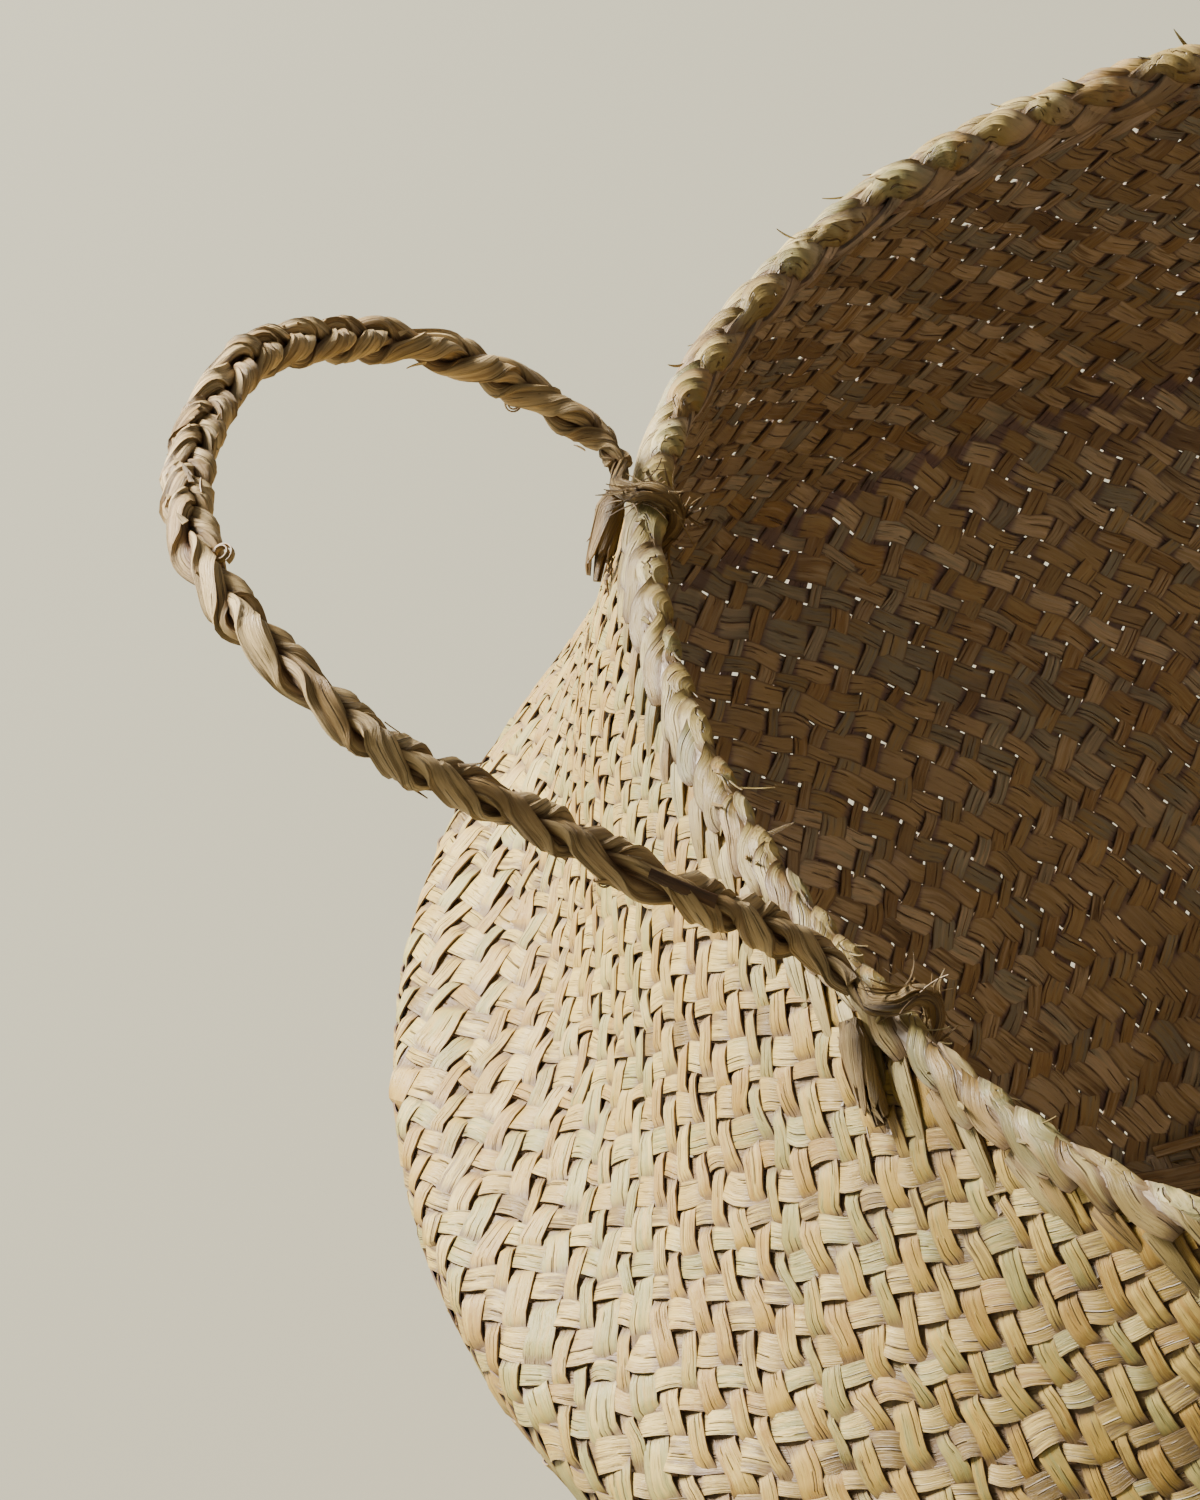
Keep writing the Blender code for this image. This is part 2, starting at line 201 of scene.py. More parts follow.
def wallMiddle(angle, run):
    # the strips' middle surface; run is the distance up (or, below 0, down) the wall from the widest ring
    b = basket
    angle, run = np.broadcast_arrays(angle, run)
    level = np.interp(run, upRun, upLevels)
    upper = skin(angle, level) - b["midDepth"] * skinNormal(angle, np.maximum(level, 1e-6))
    place = np.clip(run / lowestRun, 0, 1)
    steps = np.linspace(0, 1, lowSteps)
    share = np.cos(angle)[..., None] ** 2
    line = share * readAt(place, steps, handleLine) + (1 - share) * readAt(place, steps, frontLine)
    point = np.where((run > 0)[..., None], upper, onRing(angle, line[..., 0], line[..., 1]))
    wave = sum(size * np.sin(count * angle + shift + run * rate) for count, shift, rate, size in lumps)
    wave = wave * np.clip((run - lowestRun - b["lumpStart"]) / b["lumpOver"], 0, 1)
    return point + onRing(angle, wave, 0 * wave)


def wallFrame(angle, run):
    # the middle surface's point and its unit vectors along the ring, up the wall and outwards
    turn, step = 1.5e-3, 2.5e-4
    along = unit(wallMiddle(angle + turn, run) - wallMiddle(angle - turn, run))
    up = unit(wallMiddle(angle, run + step) - wallMiddle(angle, run - step))
    return wallMiddle(angle, run), along, up, unit(np.cross(along, up))


# meshes

def addObject(name, data):
    # a new object in the scene
    piece = bpy.data.objects.new(name, data)
    bpy.context.scene.collection.objects.link(piece)
    return piece


def quadMesh(name, points, faces, uv, values, finish):
    # points (n,3), faces (m,4), each point's place on its strip, and named values of the points
    mesh = bpy.data.meshes.new(name)
    mesh.vertices.add(len(points))
    mesh.vertices.foreach_set("co", np.asarray(points, np.float32).ravel())
    faces = np.asarray(faces, np.int32)
    mesh.loops.add(faces.size)
    mesh.loops.foreach_set("vertex_index", faces.ravel())
    mesh.polygons.add(len(faces))
    mesh.polygons.foreach_set("loop_start", np.arange(0, faces.size, 4, dtype=np.int32))
    mesh.update(calc_edges=True)
    layer = mesh.uv_layers.new(name="strip")
    layer.data.foreach_set("uv", np.asarray(uv, np.float32)[faces.ravel()].ravel())
    for title, value in values.items():
        attribute = mesh.attributes.new(title, "FLOAT", "POINT")
        attribute.data.foreach_set("value", np.asarray(value, np.float32).ravel())
    mesh.shade_smooth()
    mesh.set_sharp_from_angle(angle=math.radians(34))
    mesh.materials.append(finish)
    return addObject(name, mesh)


# outlines of a strip, a round stalk and a flat leaf, in half widths and thicknesses
stripProfile = [(-1, -0.32), (0, -0.5), (1, -0.32), (1, 0.32), (0, 0.5), (-1, 0.32)]
roundProfile = [(-math.cos(a), -math.sin(a) / 2) for a in np.linspace(0, 2 * math.pi, 10, endpoint=False)]
leafProfile = np.array([(a / 2, -0.5) for a in range(-2, 3)] + [(a / 2, 0.5) for a in range(2, -3, -1)])


class Bundle:
    # gathers strips made of rings and makes one mesh of them. A point's tone picks its strip's colour, inward
    # is 1 on the basket's inner side, which is painted browner and darker, partly as painted shade, and on
    # the ropes it holds the painted shade of the grooves; under is 1 where it lies under other strips, for
    # painted shade there.
    def __init__(self):
        self.points, self.faces, self.uv, self.count = [], [], [], 0
        self.values = {"tone": [], "inward": [], "under": []}

    def rings(self, places, across, run, tone, inward, under=0.0, closed=False):
        # places (strips, rings, sides, 3); the rest may be given per strip, ring or side
        strips, rings, sides = places.shape[:3]
        index = np.arange(strips * rings * sides).reshape(strips, rings, sides)
        ahead = np.roll(index, -1, axis=1) if closed else index[:, 1:]
        here = index if closed else index[:, :-1]
        quads = np.stack([here, ahead, np.roll(ahead, -1, axis=2), np.roll(here, -1, axis=2)], -1)
        quads = quads.reshape(-1, 4)
        if not closed:
            for step in range(sides // 2 - 1):
                pick = [step, step + 1, sides - 2 - step, sides - 1 - step]
                quads = np.concatenate([quads, index[:, 0, pick], index[:, -1, pick[::-1]]])
        uv = np.stack([np.broadcast_to(across, index.shape), np.broadcast_to(run, index.shape)], -1)
        self.points.append(places.reshape(-1, 3))
        self.faces.append(quads + self.count)
        self.uv.append(uv.reshape(-1, 2))
        for title, value in (("tone", tone), ("inward", inward), ("under", under)):
            self.values[title].append(np.broadcast_to(value, index.shape).ravel())
        self.count += index.size

    def sweep(self, centre, across, outward, width, thick, tone, profile=stripProfile, closed=False,
              inner=None, under=None, creaseShading=0.0):
        # each ring is the profile, (a, h) pairs in half widths and thicknesses, set square to the path.
        # inner, if given, stands for the whole strip; otherwise the profile's lower side is the inner one.
        shape = np.asarray(profile, float)
        width = np.broadcast_to(width, centre.shape[:2])[..., None]
        places = (centre[:, :, None] + (shape[:, 0] * width / 2)[..., None] * across[:, :, None]
                  + (shape[:, 1] * thick)[:, None] * outward[:, :, None])
        run = np.linalg.norm(np.diff(centre, axis=1), axis=-1)
        run = np.concatenate([np.zeros((len(centre), 1)), np.cumsum(run, axis=1)], axis=1)[..., None] * 100
        below = shape[:, 1] < 0
        # painted shade: the outer face darkens where the strip lies under others, the inner face where it
        # lies on top and along a crease
        if under is not None:
            creaseShaded = np.broadcast_to(creaseShading, under.shape)[..., None]
            under = np.where(below, 1 - under[..., None] + creaseShaded, under[..., None])
        inner = below.astype(float) if inner is None else float(inner)
        self.rings(places, (shape[:, 0] + 1) / 2, run, np.asarray(tone)[:, None, None], inner,
                   0.0 if under is None else under, closed)

    def make(self, name, finish):
        values = {title: np.concatenate(value) for title, value in self.values.items()}
        points, faces, uv = (np.concatenate(rows) for rows in (self.points, self.faces, self.uv))
        return quadMesh(name, points, faces, uv, values, finish)


def acrossPath(centre, outward):
    # unit vector square to the path and to the surface under it
    return unit(np.cross(outward, np.gradient(centre, axis=1)))


tip = {"rings": 8, "thickness": 0.00022, "taper": 0.85}


def drawTips(count, pairs):
    # random lengths, widths and curls, each between the two values of its pair
    return [dice.uniform(*pair, count) for pair in pairs]


def looseTips(bundle, start, along, outward, sizes):
    # thin leaf tips that have come free: each leaves along its strip and curls away from it, tapering
    length, width, curl = sizes
    share = np.linspace(0, 1, tip["rings"])[None]
    bend = curl[:, None] * share
    ahead = turned(bend, along[:, None], outward[:, None])
    facing = turned(bend, outward[:, None], -along[:, None])
    centre = start[:, None] + np.cumsum(ahead, axis=1) * (length / share.size)[:, None, None]
    width = width[:, None] * (1 - tip["taper"] * share**2)
    bundle.sweep(centre, acrossPath(centre, facing), facing, width, tip["thickness"], dice.random(len(start)),
                 inner=0)


# shader maths

class Wire:
    # a value in a material: arithmetic on wires adds the Math nodes
    def __init__(self, paint, socket):
        self.paint, self.socket = paint, socket

    def math(self, operation, *values):
        return self.paint.add("ShaderNodeMath", {"operation": operation}, dict(enumerate(values)))

    def __add__(self, other): return self.math("ADD", self, other)
    def __radd__(self, other): return self.math("ADD", other, self)
    def __sub__(self, other): return self.math("SUBTRACT", self, other)
    def __rsub__(self, other): return self.math("SUBTRACT", other, self)
    def __mul__(self, other): return self.math("MULTIPLY", self, other)
    def __rmul__(self, other): return self.math("MULTIPLY", other, self)
    def __mod__(self, other): return self.math("FLOORED_MODULO", self, other)
    def __abs__(self): return self.math("ABSOLUTE", self)

    def between(self, low, high):
        # 0 below low, 1 above high, smooth between; low may be the larger
        return self.paint.add("ShaderNodeMapRange", {"interpolation_type": "SMOOTHSTEP"},
                              {"Value": self, "From Min": low, "From Max": high})


class Paint:
    # one material and the way to add nodes to it
    def __init__(self, name, roughness):
        self.material = bpy.data.materials.new(name)
        self.material.use_nodes = True
        self.tree = self.material.node_tree
        self.shader = self.tree.nodes["Principled BSDF"]
        self.shader.inputs["Roughness"].default_value = roughness

    def add(self, kind, settings=None, values=None, output=0):
        node = self.tree.nodes.new(kind)
        for title, value in (settings or {}).items():
            if title == "stops":
                ramp = node.color_ramp
                for index, (place, colour) in enumerate(value):
                    stop = ramp.elements[index] if index < 2 else ramp.elements.new(place)
                    stop.position = place
                    stop.color = (*colour, 1)
            else:
                setattr(node, title, value)
        for title, value in (values or {}).items():
            socket = node.inputs[title]
            if isinstance(value, Wire):
                self.tree.links.new(value.socket, socket)
            else:
                socket.default_value = value
        return Wire(self, node.outputs[output])

    def attribute(self, title):
        return self.add("ShaderNodeAttribute", {"attribute_name": title}, output=2)

    def stripPlace(self):
        # how far across its strip a point lies, from 0 to 1, and how far along it, in centimetres
        place = self.add("ShaderNodeUVMap", {"uv_map": "strip"})
        across = self.add("ShaderNodeSeparateXYZ", None, {0: place})
        return across, Wire(self, across.socket.node.outputs[1])

    def noise(self, x, y, z, detail=2.0, roughness=0.5):
        place = self.add("ShaderNodeCombineXYZ", None, {0: x, 1: y, 2: z})
        return self.add("ShaderNodeTexNoise", None,
                        {"Vector": place, "Scale": 1.0, "Detail": detail, "Roughness": roughness})

    def spots(self, scale, detail):
        # blotches in the piece's own space
        place = self.add("ShaderNodeTexCoord", output=3)
        return self.add("ShaderNodeTexNoise", None, {"Vector": place, "Scale": scale, "Detail": detail})

    def mix(self, share, first, second, how="MIX"):
        return self.add("ShaderNodeMix", {"data_type": "RGBA", "blend_type": how},
                        {0: share, 6: first, 7: second}, output=2)

    def ramp(self, value, stops):
        return self.add("ShaderNodeValToRGB", {"stops": stops}, {0: value})

    def link(self, wire, title):
        self.tree.links.new(wire.socket, self.shader.inputs[title])

    def bump(self, height, distance):
        self.link(self.add("ShaderNodeBump", None, {"Height": height, "Distance": distance}), "Normal")


def colour(red, green, blue):
    return (red, green, blue, 1.0)


# the colours that a strip's tone picks from; what the inner side, on the ropes the grooves, is multiplied
# by and darkened with, partly as painted shade; the dark colour of cracks and of painted shade; how fine,
# rough and deep the fibres are, depth also deepening the painted shade at the edges; and how dark the
# painted shade under other strips is
straw = {
    "stops": [(0.0, (0.54, 0.355, 0.080)), (0.20, (0.41, 0.26, 0.049)), (0.38, (0.64, 0.45, 0.114)),
              (0.52, (0.33, 0.285, 0.084)), (0.66, (0.49, 0.31, 0.055)), (0.80, (0.37, 0.205, 0.032)),
              (0.92, (0.61, 0.42, 0.10)), (1.0, (0.23, 0.138, 0.028))],
    "innerShadeTint": (1.05, 1.16, 3.0), "innerDark": (0.13, 0.092, 0.062), "crackAndShade": (0.17, 0.10, 0.045),
    "fibreCount": 10.5, "roughness": 0.50, "bump": 0.00032, "depth": 1.0, "shade": 0.78,
}
ropeStraw = {
    "stops": [(0.0, (0.50, 0.32, 0.125)), (0.30, (0.64, 0.44, 0.185)), (0.5, (0.37, 0.225, 0.08)),
              (0.7, (0.74, 0.53, 0.245)), (0.85, (0.47, 0.32, 0.125)), (1.0, (0.25, 0.145, 0.052))],
    "innerShadeTint": (0.27, 0.175, 0.105), "innerDark": (0.07, 0.042, 0.022), "crackAndShade": (0.17, 0.10, 0.045),
    "fibreCount": 7.0, "roughness": 0.52, "bump": 0.0005, "depth": 1.25, "shade": 0.7,
}
boundStraw = {**ropeStraw,
    "stops": [(0.0, (0.28, 0.172, 0.055)), (0.35, (0.39, 0.25, 0.085)), (0.6, (0.14, 0.082, 0.026)),
              (0.85, (0.49, 0.33, 0.12)), (1.0, (0.10, 0.056, 0.018))],
}
edgeStraw = {**straw,
    "stops": [(0.0, (0.42, 0.31, 0.10)), (0.25, (0.28, 0.19, 0.052)), (0.45, (0.50, 0.39, 0.145)),
              (0.62, (0.25, 0.215, 0.08)), (0.80, (0.36, 0.22, 0.055)), (0.92, (0.18, 0.105, 0.028)),
              (1.0, (0.48, 0.365, 0.13))],
    "innerShadeTint": (1.45, 1.50, 3.0), "innerDark": (0.19, 0.155, 0.11), "fibreCount": 8.0, "depth": 1.35,
}


def strawFinish(name, look):
    # fibres run along the strip; the tone picks the strip's colour, which drifts slowly along it.
    # Cracks are the darkest fibres, and two broken splits lie at places that the tone picks.
    paint = Paint(name, look["roughness"])
    across, along = paint.stripPlace()
    tone, inward, under = (paint.attribute(title) for title in ("tone", "inward", "under"))
    fibres = look["fibreCount"]
    fine = paint.noise(across * (2.2 * fibres), along * 1.3, tone * 91, detail=4.0, roughness=0.65)
    broad = paint.noise(across * (0.5 * fibres), along * 0.8, tone * 37)
    drift = paint.noise(along * 0.35, tone * 57, 3.0, detail=1.0)
    stain = paint.spots(60.0, 3.0)
    base = paint.ramp(tone + (drift - 0.5) * 0.55 + (broad - 0.5) * 0.40, look["stops"])
    cracks = fine.between(0.58, 0.68)
    split = 0.0
    for rate, gap in ((7.3, 0.55), (13.7, 0.60)):
        line = abs(across - ((tone * rate) % 0.66 + 0.17) - (drift - 0.5) * 0.4).between(0.035, 0.0)
        broken = paint.noise(along * 1.5, tone * (9 * rate), rate, detail=1.0).between(gap - 0.08, gap)
        split = line * broken + split
    # darker towards the strip's edges: painted shade where the strips meet, and dirt on the edges
    edge = abs(across - 0.5).between(0.40, 0.5)
    dark = (1.0 - fine).between(0.5, 0.8) * 0.28 + cracks * 0.42 + split * 0.65 + edge * 0.36
    dark = (dark + stain.between(0.55, 0.75) * 0.22) * look["depth"]
    # painted shade where a strip lies under others, with the dark of fibres, cracks, splits and stains, mixes
    # towards one dark colour
    base = paint.mix(dark + under.between(0.15, 0.85) * look["shade"], base, colour(*look["crackAndShade"]))
    # the inner side is browner and darker, partly its own colour and partly painted shade of the inside (on
    # the ropes, painted shade in the grooves); its strips differ more, and its edges get more painted shade
    innerShaded = paint.mix(1.0, base, colour(*look["innerShadeTint"]), "MULTIPLY")
    innerShaded = paint.mix(edge * 0.45 + ((tone * 31.7) % 1.0) * 0.40, innerShaded, colour(*look["innerDark"]))
    paint.link(paint.mix(inward, base, innerShaded), "Base Color")
    paint.link(0.75 * look["roughness"] + fine * 0.45 * look["roughness"], "Roughness")
    paint.bump(fine * 0.7 + broad * 0.6 - cracks * 0.5 - split * 1.5, look["bump"])
    return paint.material


wallFinish = strawFinish("plaited_straw", straw)
edgeFinish = strawFinish("edge_straw", edgeStraw)
ropeFinish = strawFinish("rope_straw", ropeStraw)
boundFinish = strawFinish("bound_straw", boundStraw)
print("finishes ready")


# the plaited wall

plait = {
    "strips": 174, "rings": 3, "thickness": 0.00050, "rise": 0.00042, "tilt": math.radians(4.5),
    "jitter": 0.24, "overWidth": 0.99, "underWidth": (0.70, 0.94), "shadedTone": (0.48, 0.92), "groups": 3,
    "bottomGap": 0.0005, "topGap": 0.0012,
    # between which distances from a crossing, in rows, the first and the second family change sides
    "overAt": (0.28, 0.82), "underAt": (0.40, 0.92),
    # how tall a row is: pairs of the share of the lower (-) or upper (+) wall, and the height
    "rows": [(-1, 0.0046), (-0.65, 0.0042), (-0.52, 0.0037), (-0.25, 0.0027), (-0.10, 0.00275), (0, 0.0030),
             (0.12, 0.0033), (0.25, 0.0027), (0.46, 0.0025), (0.72, 0.00265), (0.82, 0.0024), (1, 0.0023)],
    # where the strips stand wider apart, lean and dip: angle round Z and width of each place
    "spread": 0.25, "spreadAt": (math.radians(200), math.radians(340)), "spreadWidth": math.radians(30),
    "creaseLean": 0.033, "creaseAt": math.radians(178), "creaseWidth": math.radians(22), "creaseReach": 0.012,
    "sideLean": 1.0, "sideAt": math.radians(228), "sideWidth": math.radians(25),
    "dip": 0.008, "dipAt": math.radians(240), "dipWidth": math.radians(28),
    # unevenness: waves over the wall, away from its ends by so many rows, then along and across each strip
    "wander": 0.00022, "waves": 12, "wanderRows": 8, "uneven": 0.00004, "narrower": 0.07,
    "looseOver": 1.3, "loose": 0.13, "creaseShade": 1.3, "creaseHigh": 0.0011,
}


def bell(angle, centre, width):
    # 1 at the centre, falling as a bell curve to both sides
    return np.exp(-(turnTo(angle, centre) / width) ** 2)


def rowTable():
    # rows counted up the wall against the run, from how tall a row is at each height
    p = plait
    runs = np.linspace(lowestRun + p["bottomGap"], highestRun - p["topGap"], 2000)
    share = np.where(runs < 0, runs / -lowestRun, runs / highestRun)
    tall = np.interp(share, *np.transpose(p["rows"]))
    rows = np.concatenate([[0], np.cumsum(np.diff(runs) / (0.5 * (tall[1:] + tall[:-1])))])
    return runs, rows


def spreadTable():
    # how far the strips are shifted round the ring, so that they stand wider apart at two places
    p = plait
    around = np.linspace(0, 2 * math.pi, 721)
    wider = sum(bell(around, at, p["spreadWidth"]) for at in p["spreadAt"])
    wider = wider - wider[:-1].mean()
    shift = np.concatenate([[0], np.cumsum((wider[1:] + wider[:-1]) / 2)]) * around[1]
    return around, p["spread"] * (shift - shift.mean())


rowRuns, rowCounts = rowTable()
lastRow = rowCounts[-1]
spreadAround, spreadShift = spreadTable()
# waves round and up the wall: count round the ring, turn per metre up the wall, and shift
twoSets = (2, plait["waves"])
wanderWaves = np.stack([dice.integers(9, 80, twoSets), dice.uniform(-350, 350, twoSets),
                        dice.uniform(0, 2 * math.pi, twoSets)], -1)


def wander(waves, angle, run):
    # unevenness by hand: a sum of small waves over the wall
    return plait["wander"] * sum(np.sin(count * angle + rate * run + shift) for count, rate, shift in waves)


def plaitPlace(around, row):
    # strip units round the ring and rows up the wall to an angle and a run
    p = plait
    run = np.interp(row, rowCounts, rowRuns)
    angle = around * 2 * math.pi / p["strips"]
    above = np.maximum(run, 0)
    shift = np.interp(angle % (2 * math.pi), spreadAround, spreadShift)
    shift = shift * np.clip(1 - run / lowestRun, 0, 1)
    shift = shift + p["creaseLean"] * (1 - np.exp(-above / p["creaseReach"])) * bell(
        angle, p["creaseAt"], p["creaseWidth"])
    angle = angle + shift + p["sideLean"] * above * bell(angle, p["sideAt"], p["sideWidth"])
    settled = np.clip(row / p["wanderRows"], 0, 1) * np.clip((lastRow - row) / p["wanderRows"], 0, 1)
    dip = p["dip"] * np.sin(math.pi * above / highestRun) * bell(angle, p["dipAt"], p["dipWidth"])
    moved = run - dip + wander(wanderWaves[0], angle, run) * settled
    return angle + wander(wanderWaves[1], angle, run) / basket["bellyRadius"], moved


def easeBetween(value, low, high):
    # 0 up to low, 1 from high, and 3 s squared minus 2 s cubed between
    share = np.clip((value - low) / (high - low), 0, 1)
    return share * share * (3 - 2 * share)


def unevenStrips():
    # each edge between two neighbours is shifted at random: the strips' middles and widths, in strip units
    edge = dice.uniform(-1, 1, plait["strips"]) * plait["jitter"]
    after = np.roll(edge, -1)
    return (edge + after) / 2, 1 + after - edge


def slowNoise(rows, spacing):
    # a smooth random value along each strip
    knots = np.linspace(0, lastRow, int(lastRow / spacing) + 2)
    rough = dice.normal(0, 1, (plait["strips"], len(knots)))
    return np.stack([np.interp(rows, knots, line) for line in rough])


def overUnder(crossing, first, values):
    # 1 where a strip lies outside and -1 where it lies inside, eased between: at each third crossing the
    # first family is outside, at the other two the second is
    away = np.abs((crossing + 1.5) % 3 - 1.5)
    if first:
        return 1 - 2 * easeBetween(away, *values["overAt"])
    return 2 * easeBetween(away, *values["underAt"]) - 1


def plaitStrips(lean, own, other, finish):
    # family lean +1 goes round as it rises, -1 the other way. Strip k meets strip k + j (k - j) of the other
    # family at row j.
    p = plait
    count = p["strips"]
    offsets, widths = own
    otherOffsets = other[0]
    rows = np.linspace(0, lastRow, int(lastRow * p["rings"]) + 1)[None]
    strip = np.arange(count)[:, None]
    angle, run = plaitPlace(strip + offsets[:, None] + lean * rows / 2, rows)
    point, along, up, outward = wallFrame(angle, run)
    meetings = np.arange(-2, int(lastRow) + 4)
    partner = (strip + lean * meetings) % count
    meetRow = meetings + lean * (otherOffsets[partner] - offsets[:, None])
    crossing = np.stack([np.interp(rows[0], meetRow[k], meetings) for k in range(count)])
    lift = overUnder(crossing, lean > 0, p)
    centre = point + (lift * p["rise"] + slowNoise(rows[0], 4) * p["uneven"])[..., None] * outward
    across = acrossPath(centre, outward)
    tilted = turned(p["tilt"] * slowNoise(rows[0], 3), across, outward)
    normal = unit(np.cross(np.gradient(centre, axis=1), tilted) * -1)
    normal = normal * np.sign((normal * outward).sum(-1, keepdims=True))
    # width: the distance to the neighbour, square to the strip
    ahead = wallMiddle(*plaitPlace(strip + 0.5 + lean * rows / 2, rows))
    behind = wallMiddle(*plaitPlace(strip - 0.5 + lean * rows / 2, rows))
    spacing = np.abs(((ahead - behind) * across).sum(-1))
    width = spacing * widths[:, None]
    if lean > 0:
        width = width * (p["overWidth"] - (slowNoise(rows[0], 14) > p["looseOver"]) * p["loose"])
        tone = dice.random(count)
    else:
        width = width * dice.uniform(*p["underWidth"], (count, 1))
        width = width * (1 + p["narrower"] * slowNoise(rows[0], 7))
        tone = dice.uniform(*p["shadedTone"], count)      # this family lies lower, and its browner tones are painted shade
    # painted shade in a thin band along the widest ring, on the strips' inner faces
    creaseShading = p["creaseShade"] * np.exp(-(run / p["creaseHigh"]) ** 2)
    pieces = []
    for group in range(p["groups"]):
        pick = np.arange(group, count, p["groups"])
        bundle = Bundle()
        bundle.sweep(centre[pick], tilted[pick], normal[pick], width[pick], p["thickness"], tone[pick],
                     under=(1 - lift[pick]) / 2, creaseShading=creaseShading[pick])
        side = "rising" if lean > 0 else "falling"
        pieces.append(bundle.make(f"wall_strips_{side}_{group + 1}", finish))
    return pieces


risingStrips, fallingStrips = unevenStrips(), unevenStrips()
wallPieces = (plaitStrips(1, risingStrips, fallingStrips, wallFinish)
              + plaitStrips(-1, fallingStrips, risingStrips, wallFinish))
for piece in wallPieces:
    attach(piece, "basket")
    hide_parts("upper_wall", "lower_wall")
print("wall:", plait["strips"], "strips each way,", round(lastRow), "rows")


# the base mat

mat = {"pitch": 0.0052, "radius": 0.1315, "middle": 0.0019, "rise": 0.00045, "thickness": 0.0005,
       "turn": math.radians(2), "ringsPerStrip": 2.0, "loose": 0.0009, "width": (0.62, 0.96),
       "overAt": (0.3, 0.85), "underAt": (0.4, 0.9),
       # long strips that lie loose on the mat by the back wall: Y of each, their common height, how far they
       # wave up and sideways, and their width
       "looseY": (0.1085, 0.1145, 0.1190, 0.1240, 0.1275), "looseHeight": 0.0042,
       "looseWaves": (0.0012, 0.0018), "looseWidth": (0.0026, 0.0046)}


def baseMat(finish):
    # strips on a square grid, each over one and under two, and as long as the disc is wide there
    bundle = Bundle()
    half = int(mat["radius"] / mat["pitch"])
    cos, sin = math.cos(mat["turn"]), math.sin(mat["turn"])
    for family in (0, 1):
        for index in range(-half, half + 1):
            place = index * mat["pitch"] + dice.uniform(-1, 1) * mat["loose"]
            reach = math.sqrt(max(mat["radius"] ** 2 - place**2, 0))
            if reach < 2 * mat["pitch"]:
                continue
            along = np.arange(-reach, reach, mat["pitch"] / mat["ringsPerStrip"])
            other = along / mat["pitch"]
            lift = overUnder(other - index * (1 if family else -1), family, mat)
            height = mat["middle"] + lift * mat["rise"]
            place = place + mat["loose"] * np.sin(along * dice.uniform(40, 90) + dice.uniform(0, 6))
            x, y = (along, place) if family else (place, along)
            centre = np.stack([x * cos - y * sin, x * sin + y * cos, height], -1)[None]
            # outward points down, so each strip's upper face is its inner one and takes the inner side's
            # colour, partly painted shade
            outward = np.broadcast_to(np.array([0.0, 0.0, -1.0]), centre.shape)
            width = mat["pitch"] * dice.uniform(*mat["width"])
            across = acrossPath(centre, outward)
            bundle.sweep(centre, across, outward, width, mat["thickness"], dice.random(1))
    share = np.linspace(-1, 1, 40)
    upWave, sideWave = mat["looseWaves"]
    for place in mat["looseY"]:
        reach = math.sqrt(mat["radius"] ** 2 - place**2) * dice.uniform(0.85, 1.0)
        height = mat["looseHeight"] + upWave * np.sin(share * dice.uniform(3, 6) + dice.uniform(0, 6))
        place = place + sideWave * np.sin(share * 3 + dice.uniform(0, 6))
        centre = np.stack([reach * share, place, height], -1)[None]
        outward = np.broadcast_to(unit(np.array([0.0, dice.uniform(-0.1, 0.4), -1.0])), centre.shape)
        width = dice.uniform(*mat["looseWidth"])
        bundle.sweep(centre, acrossPath(centre, outward), outward, width, mat["thickness"], dice.random(1))
    return bundle.make("base_strips", finish)


base = baseMat(wallFinish)
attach(base, "basket")
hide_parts("base_mat")


# the braided edge

braid = {
    "edgeRadius": 0.0022, "above": 0.0006, "coreWidth": 0.0040, "coreLift": -0.0020, "coreRings": 1080,
    # leaves laid slantwise outside: how many, where they start and end across the edge, how far they run
    # along it, their width, how far they stand off, and how they narrow, lie over the next and tuck in
    "leaves": 120, "leafStart": -0.0012, "leafEnd": 0.0060, "leafReach": 0.0155, "leafWidth": 0.0037,
    "leafLift": 0.0003, "leafTaper": 0.5, "leafShingle": 0.00075, "leafTuck": 0.0010, "leafRings": 16,
    # three strands plaited flat, inside and just over the top: waves round the mouth, where the middle lies,
    # how far they swing, lift and rise, their width, and how far they fold and arch
    "waves": 27, "middle": -0.0050, "swing": 0.0049, "standOff": 0.0007, "rise": 0.0006, "strand": 0.0066,
    "narrow": 0.58, "thickness": 0.0006, "fold": 0.00035, "arch": 0.0004,
    # stray tips: how many, how far to both sides of the edge, and their length, width and curl
    "tips": 170, "tipSides": (-0.004, 0.005), "tipLift": 0.0008,
    "tipSizes": ((0.002, 0.006), (0.0004, 0.0010), (0.1, 0.8)),
}


def edgePlace(angle, sideways, lift):
    # sideways runs over the mouth's edge: 0 on top, plus down the outside, minus down the inside.
    # It follows an arc over the top and then the wall's two faces; lift stands off from there.
    point, along, up, outward = wallFrame(angle, highestRun)
    arc = braid["edgeRadius"]
    turn = np.clip(sideways / arc, -math.pi / 2, math.pi / 2)
    beyond = np.maximum(np.abs(sideways) - arc * math.pi / 2, 0)
    away = turned(turn, up, outward)
    return point + up * braid["above"] + (arc + lift)[..., None] * away - beyond[..., None] * up, away


